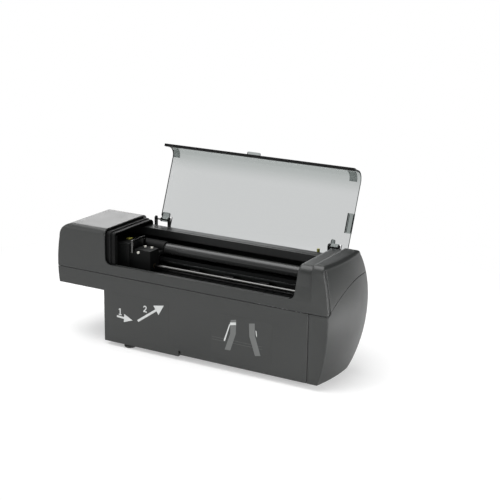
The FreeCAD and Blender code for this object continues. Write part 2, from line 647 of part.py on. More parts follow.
def bezel_root(name, start, length, inset, wall):
    """The part of the bezel that lies under the upper cover's edge, in front of the trough."""
    body = new_body(name)
    foot, back_foot, inner = "rim_height + bezel_foot", "deck_top + fit_gap", f"({inset}) + ({wall})"
    loop = [
        (inset, foot),
        (inner, foot),
        (inner, "case_height - front_edge_radius"),
        ("front_edge_radius", f"case_height - ({inner})", f"front_edge_radius - ({inner})", "right"),
        ("bezel_back - bezel_wall", f"case_height - ({inner})"),
        ("bezel_back - bezel_wall", back_foot),
        ("bezel_back", back_foot),
        ("bezel_back", f"case_height - ({inset})"),
        ("front_edge_radius", f"case_height - ({inset})"),
        (inset, "case_height - front_edge_radius", f"front_edge_radius - ({inset})", "left"),
    ]
    pad(body, "YZ", (start, "0", "0"), [loop], length)
    return body


def make_bezel():
    """The black frame set back inside the bay's mouth: a band, a raised bead and a deeper band."""
    mouth = "opening_left + fit_gap"
    bead_end = "bezel_bead_at + bezel_bead_width"
    root = bezel_root("bezel_root", "bezel_left", f"{mouth} - bezel_left", "bezel_inset", "bezel_wall")
    mount = bezel_root("bezel_mount_ring", "bezel_left", "bezel_mount", "case_wall",
                       "bezel_inset + bezel_wall - case_wall")
    outer_band = bezel_ring("bezel_outer_band", mouth, f"bezel_bead_at - ({mouth})", "bezel_inset", "bezel_wall")
    bead = bezel_ring("bezel_bead", "bezel_bead_at", "bezel_bead_width", "bezel_inset - bezel_step",
                      "bezel_wall + bezel_step")
    inner_band = bezel_ring("bezel_inner_band", bead_end, f"bezel_right - ({bead_end})",
                            "bezel_inset + bezel_step / 2", "bezel_wall")
    lip_front = "bezel_inset + bezel_step / 2"
    lip = block("bezel_lip", ("bezel_right - bezel_wall", lip_front, "rim_height + bezel_foot"),
                ("bezel_right", f"{lip_front} + bezel_wall + bezel_rib", "case_height - front_edge_radius"))
    keep("bay_bezel", join("bay_bezel", root, mount, outer_band, bead, inner_band, lip))


def make_lid():
    bend_at = f"({LID_FRONT} + lid_bend)"
    bend_up = f"({LID_TOP} - lid_bend)"
    lip_foot = f"({LID_TOP} - lid_lip)"
    inside = f"({LID_FRONT} + lid_thickness)"
    sheet_form = new_body("lid_sheet")
    bent = [
        (LID_FRONT, lip_foot),
        (inside, lip_foot),
        (inside, bend_up),
        (bend_at, LID_INSIDE, "lid_bend - lid_thickness", "right"),
        (LID_BACK, LID_INSIDE),
        (LID_BACK, LID_TOP),
        (bend_at, LID_TOP),
        (LID_FRONT, bend_up, "lid_bend", "left"),
    ]
    pad(sheet_form, "YZ", ("lid_left", "0", "0"), [bent], "lid_right - lid_left")
    notch_far = "hinge_depth - notch_near"
    notch_edge = f"{notch_far} - notch_length"
    notch = box_loop("lid_right - notch_depth", notch_edge, "lid_right + overrun", notch_far)
    hinge_notches = [box_loop(left, "hinge_depth - arm_back", right, f"{LID_BACK} + overrun") for left, right in (
        (f"{LEFT_EAR} - overrun", f"arm_left + {EARS_END} + hinge_notch_gap"),
        (f"{RIGHT_EAR} - hinge_notch_gap", f"arm_right + {EARS_END} + hinge_notch_gap"))]
    pocket(sheet_form, "XY", ("0", "0", "hinge_height"), [notch] + hinge_notches, "lid_rise + overrun")
    keep("lid_panel", sheet_form, on_lid=True)

    trim = new_body("lid_trim")
    near, far = f"({LID_FRONT} - trim_lip)", f"({inside} + trim_lip)"
    foot, crest = f"({lip_foot} - trim_foot)", f"({lip_foot} - trim_foot + trim_height)"
    channel = [(near, foot), (far, foot), (far, crest), (inside, crest), (inside, lip_foot),
               (LID_FRONT, lip_foot), (LID_FRONT, crest), (near, crest)]
    pad(trim, "YZ", ("lid_left", "0", "0"), [channel], "lid_right - lid_left")
    keep("lid_edge_trim", trim, on_lid=True)

    handle = block("lid_handle", ("tab_left", f"{near} - tab_reach", foot),
                   ("tab_left + tab_width", near, f"{foot} + tab_thickness"))
    soften(handle, "tab_thickness", lambda edge: is_upright(edge)
           and edge.BoundBox.YMin < number(f"{near} - tab_reach / 2"))
    keep("lid_handle_tab", handle, on_lid=True)

    outer, inner = "lid_bend - lid_thickness", "lid_bend - lid_thickness - trim_lip"
    bent_strip = [
        (f"-({inner})", "0"),
        ("0", inner, inner, "right"),
        ("0", outer),
        (f"-({outer})", "0", outer, "left"),
    ]
    for node, start in (("lid_clip_left", "lid_left + clip_left_inset"),
                        ("lid_clip_right", "lid_right - clip_right_inset - clip_width")):
        clip = new_body(node)
        pad(clip, "YZ", (start, bend_at, bend_up), [bent_strip], "clip_width")
        keep(node, clip, on_lid=True)

    side_clip = block("side_clip", ("lid_right - notch_depth", notch_edge, f"{LID_INSIDE} - trim_lip"),
                      ("lid_right", notch_far, f"{LID_TOP} + trim_lip"))
    wall = "side_clip_lip"
    pocket(side_clip, "XY", ("0", "0", f"{LID_INSIDE} + lid_thickness / 2"),
           [box_loop(f"lid_right - notch_depth + {wall}", f"{notch_edge} + {wall}",
                     f"lid_right - {wall}", f"{notch_far} - {wall}")], "lid_thickness + overrun")
    keep("lid_side_clip", side_clip, on_lid=True)


def knuckle_loop(radius):
    return ("circle", "hinge_depth", "hinge_height", radius)


def make_hinges():
    """Each arm holds the lid's rear edge and ends in a knuckle that turns on a pin between two ears."""
    sides = {"left": ("arm_left", "knuckle_width", LEFT_EAR), "right": ("arm_right", "arm_side", RIGHT_EAR)}
    pins = []
    for side, (knuckle, width, left_ear) in sides.items():
        arm = new_body(f"arm_{side}")
        pad(arm, "XY", ("0", "0", f"{LID_INSIDE} - arm_thickness"),
            [box_loop(knuckle, "hinge_depth - arm_reach", f"{knuckle} + {width}", "hinge_depth - arm_back / 2")],
            "arm_thickness")
        soften(arm, "arm_thickness", lambda edge: is_upright(edge)
               and edge.BoundBox.YMin < number("hinge_depth - arm_back"))
        neck = [("hinge_depth - arm_back", f"{LID_INSIDE} - arm_thickness"),
                ("hinge_depth", "hinge_height - pin_radius"),
                ("hinge_depth", LID_INSIDE),
                ("hinge_depth - arm_back", LID_INSIDE)]
        pad(arm, "YZ", (knuckle, "0", "0"), [neck], "knuckle_width")
        pad(arm, "YZ", (knuckle, "0", "0"), [knuckle_loop("knuckle_radius")], "knuckle_width")
        pocket(arm, "YZ", (f"{knuckle} - overrun", "0", "0"), [knuckle_loop("pin_radius + running_gap")],
               "knuckle_width + 2 * overrun")
        keep(f"lid_arm_{side}", arm, on_lid=True)

        bracket = new_body(f"bracket_{side}")
        low, crown = "trough_floor", "hinge_height + ear_crown"
        near, far = "hinge_depth - knuckle_radius", "hinge_depth + knuckle_radius"
        ear = [
            (near, low),
            (far, low),
            (far, crown),
            ("hinge_depth", f"{crown} + knuckle_radius", "knuckle_radius", "left"),
            (near, crown, "knuckle_radius", "left"),
        ]
        right_ear = f"{knuckle} + knuckle_width + ear_gap"
        pad(bracket, "YZ", (left_ear, "0", "0"), [ear], "ear_thickness")
        pad(bracket, "YZ", (right_ear, "0", "0"), [ear], "ear_thickness")
        pad(bracket, "XY", ("0", "0", low),
            [box_loop(left_ear, near, f"{right_ear} + ear_thickness", far)], "foot_plate")
        pocket(bracket, "YZ", (f"{left_ear} - overrun", "0", "0"), [knuckle_loop("pin_radius")],
               f"{right_ear} - {left_ear} + 2 * overrun")
        keep(f"hinge_bracket_{side}", bracket)
        pin_start = f"{left_ear} - pin_end"
        pins.append(bar(f"pin_{side}", "X", pin_start, ("hinge_depth", "hinge_height"), "pin_radius",
                        f"{right_ear} + ear_thickness + pin_end - ({pin_start})"))
    keep("hinge_pins", group("hinge_pins", pins))


def rail_holes(gap):
    """The holes through a frame plate for the rod and the tube."""
    return [("circle", "rod_depth", "rod_height", f"rod_radius + {gap}"),
            ("circle", "tube_depth", "tube_height", f"tube_radius + {gap}")]


def make_frame():
    floor = block("floor_plate", ("floor_left", "floor_front", "case_wall"),
                  ("floor_right", "floor_back", CHASSIS_TOP))
    circles = [("circle", across, along, "screw_radius") for across, along in screw_places()]
    pocket(floor, "XY", ("0", "0", "0"), circles, "case_wall + floor_thickness + overrun")
    keep("chassis_floor", floor)

    left = new_body("left_plate")
    pad(left, "YZ", ("left_plate_at", "0", "0"),
        [box_loop("floor_front", OVERHANG_FLOOR, "plate_back", "plate_top")], "plate_thickness")
    pocket(left, "YZ", ("left_plate_at - overrun", "0", "0"), rail_holes("running_gap"), "2 * overrun")
    keep("left_frame_plate", left)

    right = new_body("right_plate")
    loop = [("floor_front", CHASSIS_TOP), ("floor_back", CHASSIS_TOP), ("plate_back", "plate_knee"),
            ("plate_back", "plate_top"), ("floor_front", "plate_top")]
    pad(right, "YZ", ("right_plate_at", "0", "0"), [loop], "plate_thickness")
    shafts = [("circle", "roller_depth", ROLLER_HEIGHT, "roller_shaft + running_gap"),
              ("circle", "roller_depth", PINCH_HEIGHT, "pinch_shaft + running_gap"),
              ("circle", "roller_depth", MOTOR_HEIGHT, "shaft_radius + running_gap")]
    pocket(right, "YZ", ("right_plate_at - overrun", "0", "0"), rail_holes("running_gap") + shafts,
           "2 * overrun")
    keep("right_frame_plate", right)

    bulkhead = new_body("bulkhead")
    loop = [("floor_front", CHASSIS_TOP), ("floor_back", CHASSIS_TOP), ("plate_back", "plate_knee"),
            ("plate_back", "beam_top + plate_thickness"), ("bulkhead_seat", "beam_top + plate_thickness"),
            ("bulkhead_seat", "platen_top"), ("floor_front", "platen_top")]
    pad(bulkhead, "YZ", ("bulkhead_at", "0", "0"), [loop], "plate_thickness")
    pocket(bulkhead, "YZ", ("bulkhead_at - overrun", "0", "0"), shafts[:2], "2 * overrun")
    keep("left_bulkhead", bulkhead)

    liner = new_body("bay_liner")
    near = f"{RECESS_FRONT} + case_wall"
    loop = [(near, "arm_low"), ("floor_back", "arm_low"), ("floor_back", f"{RECESS_FLOOR} - case_wall"),
            (f"{LID_FRONT} + lid_bend", f"{RECESS_FLOOR} - case_wall"),
            (near, f"{LID_TOP} - lid_bend", f"{RECESS_BEND} - case_wall", "left")]
    pad(liner, "YZ", ("right_plate_at - liner_gap - plate_thickness", "0", "0"), [loop], "plate_thickness")
    pocket(liner, "YZ", ("opening_right", "0", "0"),
           [("circle", "tube_depth", "tube_height", "tube_radius + liner_play")], "2 * overrun")
    keep("right_bay_liner", liner)


def make_rails():
    start, end = "left_plate_at - rail_overrun", "right_plate_at + plate_thickness + rail_overrun"
    length = f"{end} - ({start})"
    keep("guide_rod", bar("rod", "X", start, ("rod_depth", "rod_height"), "rod_radius", length))
    tube = bar("tube", "X", start, ("tube_depth", "tube_height"), "tube_radius", length)
    pocket(tube, "YZ", (f"{start} - overrun", "0", "0"), [("circle", "tube_depth", "tube_height", "tube_bore")],
           f"{length} + 2 * overrun")
    keep("rear_guide_tube", tube)
    inside = "left_plate_at + plate_thickness"
    keep("encoder_strip", block("strip", (inside, "strip_depth", "strip_low"),
                                ("right_plate_at", "strip_depth + strip_thickness", "strip_low + strip_tall")))
    deck = new_body("deck")
    wall = "deck_wall"
    groove_near = "deck_front + deck_groove_at"
    loop = [
        ("deck_front", "deck_top - deck_leg"),
        (f"deck_front + {wall}", "deck_top - deck_leg"),
        (f"deck_front + {wall}", f"deck_top - deck_groove - {wall}"),
        (f"deck_back - {wall}", f"deck_top - deck_groove - {wall}"),
        (f"deck_back - {wall}", "deck_top - deck_leg"),
        ("deck_back", "deck_top - deck_leg"),
        ("deck_back", "deck_top"),
        (f"{groove_near} + deck_groove", "deck_top"),
        (f"{groove_near} + deck_groove", "deck_top - deck_groove"),
        (groove_near, "deck_top - deck_groove"),
        (groove_near, "deck_top"),
        ("deck_front", "deck_top"),
    ]
    pad(deck, "YZ", (inside, "0", "0"), [loop], f"right_plate_at - ({inside})")
    keep("rear_deck", deck)
    peg = bar("peg", "Z", "trough_floor", ("peg_at", "peg_depth"), "peg_radius", "peg_height")
    keep("deck_peg", peg)


def stadium(left, right, height, radius):
    return [
        (right, f"{height} - ({radius})"),
        (f"{right} + ({radius})", height, radius, "left"),
        (right, f"{height} + ({radius})", radius, "left"),
        (left, f"{height} + ({radius})"),
        (f"{left} - ({radius})", height, radius, "left"),
        (left, f"{height} - ({radius})", radius, "left"),
    ]


def make_drive():
    inner = "pulley_radius + belt_gap"
    outer = f"{inner} + belt_thickness"
    belt = new_body("belt")
    ends = ("drive_pulley_at", "idler_pulley_at", "drive_height")
    pad(belt, "XZ", ("0", "belt_front", "0"), [stadium(*ends, outer), stadium(*ends, inner)], "belt_width")
    keep("drive_belt", belt)

    belt_back = "belt_front + belt_width"
    flange = "pulley_radius + flange_height"
    plate_near = f"{belt_back} + belt_gap + flange_thickness + bracket_gap"
    for node, centre in (("drive_pulley", "drive_pulley_at"), ("idler_pulley", "idler_pulley_at")):
        pulley = new_body(node)
        near = "belt_front - belt_gap - flange_thickness"
        pad(pulley, "XZ", ("0", near, "0"), [("circle", centre, "drive_height", flange)], "flange_thickness")
        pad(pulley, "XZ", ("0", f"{near} + flange_thickness / 2", "0"),
            [("circle", centre, "drive_height", "pulley_radius")],
            "belt_width + 2 * belt_gap + flange_thickness")
        pad(pulley, "XZ", ("0", f"{belt_back} + belt_gap", "0"),
            [("circle", centre, "drive_height", flange)], "flange_thickness")
        shaft = f"{plate_near} + motor_bore_depth" if node == "drive_pulley" else f"{plate_near} + 2 * plate_thickness"
        pad(pulley, "XZ", ("0", "belt_front", "0"), [("circle", centre, "drive_height", "shaft_radius")],
            f"{shaft} - belt_front")
        keep(node, pulley)

    motor = bar("carriage_motor_can", "Y", f"{plate_near} + plate_thickness", ("drive_pulley_at", "drive_height"),
                "motor_radius", "motor_length")
    pocket(motor, "XZ", ("0", plate_near, "0"),
           [("circle", "drive_pulley_at", "drive_height", "shaft_radius + running_gap")],
           "motor_bore_depth + motor_bore_room")
    keep("carriage_motor", motor)

    hole = "shaft_radius + running_gap"
    for node, centre, wall in (("motor_bracket", "drive_pulley_at", "left_plate_at + plate_thickness"),
                               ("idler_bracket", "idler_pulley_at", "right_plate_at")):
        bracket = new_body(node)
        face_left = wall if node == "motor_bracket" else f"{centre} - bracket_reach / 2"
        face_right = f"{centre} + bracket_reach" if node == "motor_bracket" else wall
        low, high = "drive_height - motor_radius - plate_thickness", "arm_low - plate_thickness"
        pad(bracket, "XZ", ("0", plate_near, "0"), [box_loop(face_left, low, face_right, high)],
            "plate_thickness")
        tab_left = wall if node == "motor_bracket" else f"{wall} - plate_thickness"
        pad(bracket, "YZ", (tab_left, "0", "0"),
            [box_loop(plate_near, low, f"{plate_near} + bracket_reach / 4", f"{low} + bracket_reach")],
            "plate_thickness")
        pocket(bracket, "XZ", ("0", f"{plate_near} - overrun", "0"), [("circle", centre, "drive_height", hole)],
               "2 * overrun")
        keep(node, bracket)


def make_carriage():
    start, length = "carriage_left", "carriage_width"
    bush = "rod_radius + bush_wall"
    shoe = "tube_radius + shoe_gap"
    shoe_out = f"{shoe} + shoe_wall"
    body = new_body("carriage_block")
    profile = [
        ("carriage_front", "carriage_low"),
        ("carriage_back", "carriage_low"),
        ("carriage_back", "arm_low"),
        (f"tube_depth + {shoe_out}", "arm_low"),
        (f"tube_depth + {shoe_out}", "tube_height"),
        ("tube_depth", f"tube_height + {shoe_out}", shoe_out, "left"),
        (f"tube_depth - ({shoe_out})", "tube_height", shoe_out, "left"),
        (f"tube_depth - ({shoe_out})", "carriage_deck"),
        ("carriage_front", "carriage_deck"),
    ]
    pad(body, "YZ", (start, "0", "0"), [profile], length)
    tower_left = f"{start} + {length} - tower_width"
    pad(body, "XY", ("0", "0", "carriage_deck"),
        [box_loop(tower_left, "carriage_front", f"{start} + {length}", "carriage_back")], "tower_height")
    cut_start, cut_length = f"{start} - overrun", f"{length} + 2 * overrun"
    pocket(body, "YZ", (cut_start, "0", "0"),
           [("circle", "rod_depth", "rod_height", bush), ("circle", "tube_depth", "tube_height", shoe)],
           cut_length)
    gap = "cartridge_gap"
    first = f"{start} + cover_inset + cover_wall + 2 * {gap}"
    last = f"{first} + cartridge_count * cartridge_spacing - (cartridge_spacing - cartridge_width)"
    near, far = f"carriage_front + cartridge_rim - {gap}", f"carriage_back - cartridge_rim + {gap}"
    pocket(body, "XY", ("0", "0", f"cartridge_low - {gap}"),
           [box_loop(f"{first} - {gap}", near, f"{last} + {gap}", far)], "carriage_deck - cartridge_low + overrun")
    keep("carriage_body", body)

    bushes = []
    for place in (start, f"{start} + {length} - bush_length"):
        ring = bar(f"bush_{len(bushes)}", "X", place, ("rod_depth", "rod_height"), bush, "bush_length")
        pocket(ring, "YZ", (f"{place} - overrun", "0", "0"),
               [("circle", "rod_depth", "rod_height", "rod_radius + running_gap")],
               "bush_length + 2 * overrun")
        bushes.append(ring)
    keep("carriage_bushes", group("carriage_bushes", bushes))

    cells = new_body("cells")
    cell = pad(cells, "XY", ("0", "0", "cartridge_low"),
               [box_loop(first, "carriage_front + cartridge_rim", f"{first} + cartridge_width",
                         "carriage_back - cartridge_rim")], "cartridge_top - cartridge_low")
    doc.recompute()
    repeat(cells, cell, "X", "cartridge_spacing", "cartridge_count")
    keep("ink_cartridges", cells)

    cover = new_body("cover")
    front = "carriage_front - cover_apron"
    edge, wall = "cover_edge", "cover_wall"
    left = f"{start} + cover_inset"
    outline = [
        (front, "carriage_low"),
        ("carriage_front", "carriage_low"),
        ("carriage_front", "carriage_deck"),
        ("carriage_back", "carriage_deck"),
        ("carriage_back", f"cover_top - {edge}"),
        (f"carriage_back - {edge}", "cover_top", edge, "left"),
        (f"{front} + {edge}", "cover_top"),
        (front, f"cover_top - {edge}", edge, "left"),
    ]
    pad(cover, "YZ", (left, "0", "0"), [outline], "cover_width")
    pocket(cover, "XY", ("0", "0", "carriage_deck - overrun / 4"),
           [box_loop(f"{left} + {wall}", "carriage_front", f"{left} + cover_width - {wall}",
                     f"carriage_back - {wall}")], f"cover_top - {wall} - (carriage_deck - overrun / 4)")
    keep("cartridge_cover", cover)

    head_start = f"{start} + head_left"
    head = block("head", (head_start, "head_front", "carriage_low - head_drop"),
                 (f"{head_start} + head_width", "head_front + head_depth", "carriage_low"))
    soften(head, "head_edge", lambda edge: is_upright(edge))
    keep("print_head", head)

    clamp = new_body("clamp")
    wall, gap = "clamp_wall", "clamp_gap"
    belt_top = "drive_height + pulley_radius + belt_gap + belt_thickness"
    near, far = f"belt_front - {gap}", f"belt_front + belt_width + {gap}"
    hook = [
        (f"{near} - {wall}", "clamp_low"), (near, "clamp_low"), (near, f"{belt_top} + {gap}"),
        (far, f"{belt_top} + {gap}"), (far, "clamp_low"), (f"{far} + {wall}", "clamp_low"),
        (f"{far} + {wall}", "arm_low"), (f"{near} - {wall}", "arm_low"),
    ]
    pad(clamp, "YZ", (f"{start} + clamp_at", "0", "0"), [hook], "clamp_width")
    keep("belt_clamp", clamp)

    latch = new_body("latch")
    thick = "bar_thickness"
    arch = [
        ("carriage_front", "carriage_deck"), (f"carriage_front + {thick}", "carriage_deck"),
        (f"carriage_front + {thick}", f"bar_top - {thick}"), (f"bar_back - {thick}", f"bar_top - {thick}"),
        (f"bar_back - {thick}", "carriage_deck"), ("bar_back", "carriage_deck"),
        ("bar_back", "bar_top"), ("carriage_front", "bar_top"),
    ]
    pad(latch, "YZ", (f"{start} + bar_at", "0", "0"), [arch], "bar_width")
    soften(latch, "bar_bend", lambda edge: is_along_x(edge)
           and edge.BoundBox.ZMin > number("bar_top - bar_thickness / 2"))
    keep("latch_bar", latch)

    keep("cartridge_tab", block("tab", (f"{start} + tap_at", "carriage_back - tap_depth", "cover_top"),
                                (f"{start} + tap_at + tap_width", "carriage_back", "cover_top + tap_height")))
    nub = bar("nub_front", "Y", "carriage_front - boss_length", (f"{start} + boss_at", "boss_height"),
              "boss_radius", "boss_length")
    top = "carriage_deck + tower_height"
    tops = [bar(f"nub_{place}", "Z", top, (f"{start} + boss_at + {place} * boss_spacing", depth),
                "boss_radius", "boss_length")
            for place, depth in ((1, "carriage_back - boss_spacing / 2"), (0, "carriage_back - boss_spacing / 2"))]
    keep("guide_bosses", group("guide_bosses", [nub] + tops))


def gear(name, start, centre_height, teeth):
    """A spur gear about an axis along X, with one tooth straight down, made by repeating a single tooth."""
    body = new_body(name)
    pitch_radius = f"(gear_module * {teeth} / 2)"
    root = f"({pitch_radius} - gear_module * {ROOT_SHARE})"
    at = (start, "roller_depth", centre_height)
    pad(body, "YZ", at, [("circle", "0", "0", root)], "gear_width")
    tip = f"{pitch_radius} + gear_module * {TIP_SHARE}"
    narrow, wide = f"gear_module * {TIP_WIDTH_SHARE}", f"gear_module * {ROOT_WIDTH_SHARE}"
    sunk = f"{root} - gear_module / 2"
    tooth_loop = [(f"-({wide})", f"-({sunk})"), (f"-({narrow})", f"-({tip})"), (narrow, f"-({tip})"),
                  (wide, f"-({sunk})")]
    tooth = pad(body, "YZ", at, [tooth_loop], "gear_width")
    doc.recompute()
    ring = body.newObject("PartDesign::PolarPattern", f"{name}_teeth")
    ring.Originals = [tooth]
    ring.Axis = (tooth.Profile[0], ["N_Axis"])
    ring.Angle = 360
    ring.setExpression("Occurrences", bound(teeth))
    body.Tip = ring
    return body


def make_feed():
    slot_near = "roller_depth - platen_slot / 2"
    slot_far = "roller_depth + platen_slot / 2"
    left, right = "bulkhead_at + plate_thickness", "right_plate_at"
    low = "platen_top - platen_thickness"
    platen = block("platen_plate", (left, "platen_front", low), (right, "platen_back", "platen_top"))
    pocket(platen, "XY", ("0", "0", f"{low} - overrun"),
           [box_loop(f"{left} + platen_land", slot_near, f"{right} - platen_land", slot_far)],
           "platen_thickness + 2 * overrun")
    rib_left = f"{left} + platen_land + rib_inset"
    loops = [box_loop(rib_left, "platen_front", f"{rib_left} + rib_width", f"{slot_near} - rib_width"),
             box_loop(rib_left, f"{slot_far} + rib_width", f"{rib_left} + rib_width", "platen_back")]
    rib = pad(platen, "XY", ("0", "0", "platen_top"), loops, "rib_height")
    doc.recompute()
    repeat(platen, rib, "X", "rib_spacing", "rib_count")
    keep("platen", platen)

    roller = bar("roller", "X", f"{left} + roller_end", ("roller_depth", ROLLER_HEIGHT), "roller_radius",
                 f"{right} - roller_end - ({left} + roller_end)")
    shaft_start = "bulkhead_at - roller_end / 2"
    gear_left = "right_plate_at + plate_thickness + gear_offset"
    pad(roller, "YZ", (shaft_start, "0", "0"), [("circle", "roller_depth", ROLLER_HEIGHT, "roller_shaft")],
        f"{gear_left} + gear_width + roller_end / 2 - ({shaft_start})")
    keep("feed_roller", roller)

    wheel = gear("feed_wheel", gear_left, ROLLER_HEIGHT, "gear_teeth")
    pocket(wheel, "YZ", (f"{gear_left} - overrun", "0", "0"),
           [("circle", "roller_depth", ROLLER_HEIGHT, "roller_shaft")], "2 * overrun")
    keep("feed_gear", wheel)

    pinion = gear("motor_wheel", gear_left, MOTOR_HEIGHT, "pinion_teeth")
    shaft_from = "right_plate_at - motor_bore_depth"
    pad(pinion, "YZ", (shaft_from, "0", "0"), [("circle", "roller_depth", MOTOR_HEIGHT, "shaft_radius")],
        f"{gear_left} + gear_width - ({shaft_from})")
    keep("motor_pinion", pinion)
    motor = bar("feed_motor_can", "X", "right_plate_at - feed_motor_length", ("roller_depth", MOTOR_HEIGHT),
                "feed_motor_radius", "feed_motor_length")
    pocket(motor, "YZ", ("right_plate_at - motor_bore_depth - motor_bore_room", "0", "0"),
           [("circle", "roller_depth", MOTOR_HEIGHT, "shaft_radius + running_gap")], "2 * overrun")
    keep("feed_motor", motor)

    pinch = bar("pinch_axle", "X", "bulkhead_at - plate_thickness", ("roller_depth", PINCH_HEIGHT), "pinch_shaft",
                "right_plate_at - bulkhead_at + 2 * plate_thickness")
    wheel_pad = pad(pinch, "YZ", ("pinch_left", "0", "0"),
                    [("circle", "roller_depth", PINCH_HEIGHT, "pinch_radius")], "pinch_width")
    doc.recompute()
    repeat(pinch, wheel_pad, "X", "pinch_spacing", "pinch_count")
    keep("pinch_rollers", pinch)

    beam = new_body("beam")
    web = "beam_back - beam_web"
    angle = [(web, "beam_low"), ("beam_back", "beam_low"), ("beam_back", "beam_top"),
             ("beam_front", "beam_top"), ("beam_front", "beam_top - beam_web"), (web, "beam_top - beam_web")]
    pad(beam, "YZ", (left, "0", "0"), [angle], f"{right} - ({left})")
    keep("pinch_frame", beam)


def make_service():
    """The capping station under the parked carriage, with its wiper."""
    top = "carriage_low - head_drop - cap_clear"
    station = block("station", ("cap_left", "cap_front", OVERHANG_FLOOR),
                    ("cap_right", "cap_front + cap_depth", f"{OVERHANG_FLOOR} + cap_base"))
    pad(station, "XY", ("0", "0", OVERHANG_FLOOR),
        [box_loop("cap_left", "cap_front", "cap_left + cap_width", "cap_front + cap_depth")],
        f"{top} - {OVERHANG_FLOOR}")
    pocket(station, "XY", ("0", "0", f"{top} - cap_well"),
           [box_loop("cap_left + cap_wall", "cap_front + cap_wall", "cap_left + cap_width - cap_wall",
                     "cap_front + cap_depth - cap_wall")], "cap_well + overrun")
    keep("capping_station", station)
    keep("wiper_blade", block("wiper", ("wiper_at", "cap_front", f"{OVERHANG_FLOOR} + cap_base"),
                              ("wiper_at + wiper_thickness", "cap_front + cap_depth",
                               "carriage_low - head_drop - wiper_clear")))


def make_electrics():
    supply = block("supply", ("supply_left", "supply_front", CHASSIS_TOP),
                   ("supply_left + supply_length", "supply_front + supply_depth",
                    f"{CHASSIS_TOP} + supply_height"))
    keep("power_supply", supply)

    board_low = f"({CHASSIS_TOP} + board_rise)"
    right, back = "board_left + board_length", "board_front + board_depth"
    board = block("board", ("board_left", "board_front", board_low),
                  (right, back, f"{board_low} + board_thickness"))
    posts = [("circle", across, along, "post_radius")
             for across in ("board_left + post_inset", f"{right} - post_inset")
             for along in ("board_front + post_inset", f"{back} - post_inset")]
    pad(board, "XY", ("0", "0", CHASSIS_TOP), posts, "board_rise")
    chip = pad(board, "XY", ("0", "0", f"{board_low} + board_thickness"),
               [box_loop("board_left + chip_left", "board_front + chip_size",
                         "board_left + chip_left + chip_size", "board_front + 2 * chip_size")], "chip_height")
    doc.recompute()
    repeat(board, chip, "X", "chip_spacing", "chip_count")
    keep("control_board", board)

    panel = new_body("socket_panel")
    edge = "well_wall + panel_edge"
    pad(panel, "XZ", ("0", "well_floor - panel_thickness", "0"),
        [box_loop(f"well_left - ({edge})", f"well_low - ({edge})", f"well_left + well_width + ({edge})",
                  f"well_low + well_tall + ({edge})")], "panel_thickness")
    low, high = "socket_low", "socket_low + inlet_tall"
    holes = [box_loop("inlet_left", low, "inlet_left + inlet_width", high),
             box_loop("switch_left", low, "switch_left + switch_width", high)]
    port_lefts = [f"port_left + {place} * port_spacing" for place in range(SIZES["port_count"])]
    holes += [box_loop(left, low, f"{left} + port_width", f"{low} + port_tall") for left in port_lefts]
    pocket(panel, "XZ", ("0", "well_floor - overrun", "0"), holes, "2 * overrun")
    keep("connector_panel", panel)

    def shell_box(name, left, width, tall, wall):
        box = block(name, (left, "well_floor - socket_depth", low),
                    (f"{left} + {width}", "well_floor + socket_rim", f"{low} + {tall}"))
        pocket(box, "XZ", ("0", f"well_floor - socket_depth + {wall}", "0"),
               [box_loop(f"{left} + {wall}", f"{low} + {wall}", f"{left} + {width} - {wall}",
                         f"{low} + {tall} - {wall}")], "socket_depth + overrun")
        return box

    inlet = shell_box("inlet", "inlet_left", "inlet_width", "inlet_tall", "inlet_wall")
    middle = "inlet_left + inlet_width / 2 - blade_width / 2"
    centre = f"{low} + inlet_tall / 2 - blade_tall / 2"
    blades = [box_loop(f"{middle} + {step} * blade_step", centre,
                       f"{middle} + {step} * blade_step + blade_width", f"{centre} + blade_tall")
              for step in (-1, 0, 1)]
    pad(inlet, "XZ", ("0", "well_floor - socket_depth + inlet_wall / 2", "0"), blades, "blade_length")
    keep("power_inlet", inlet)
    keep("switch_housing", shell_box("switch_box", "switch_left", "switch_width", "inlet_tall", "switch_wall"))
    ports = [shell_box(f"port_{place}", left, "port_width", "port_tall", "port_wall")
             for place, left in enumerate(port_lefts)]
    keep("data_ports", group("data_ports", ports))

    rocker = new_body("rocker")
    half = f"(inlet_tall / 2 - switch_wall - rocker_gap)"
    crest = "socket_rim"
    centre_height = f"{low} + inlet_tall / 2"
    face = [
        ("-rocker_depth", f"-({half}) * {ROCKER_ROOT_SHARE}"),
        ("0", f"-({half})"),
        (crest, f"-({half})"),
        (f"{crest} - rocker_depth * {ROCKER_DIP_SHARE}", "0"),
        (crest, half),
        ("0", half),
        ("-rocker_depth", f"({half}) * {ROCKER_ROOT_SHARE}"),
    ]
    pad(rocker, "YZ", ("switch_left + switch_wall + rocker_gap", "well_floor", centre_height), [face],
        "switch_width - 2 * switch_wall - 2 * rocker_gap")
    pivot = Vector(0, number("well_floor"), number(centre_height))
    rocker.Placement = Placement(Vector(0, 0, 0), Rotation(Vector(1, 0, 0), number("switch_tilt_angle")), pivot)
    keep("power_switch", rocker)


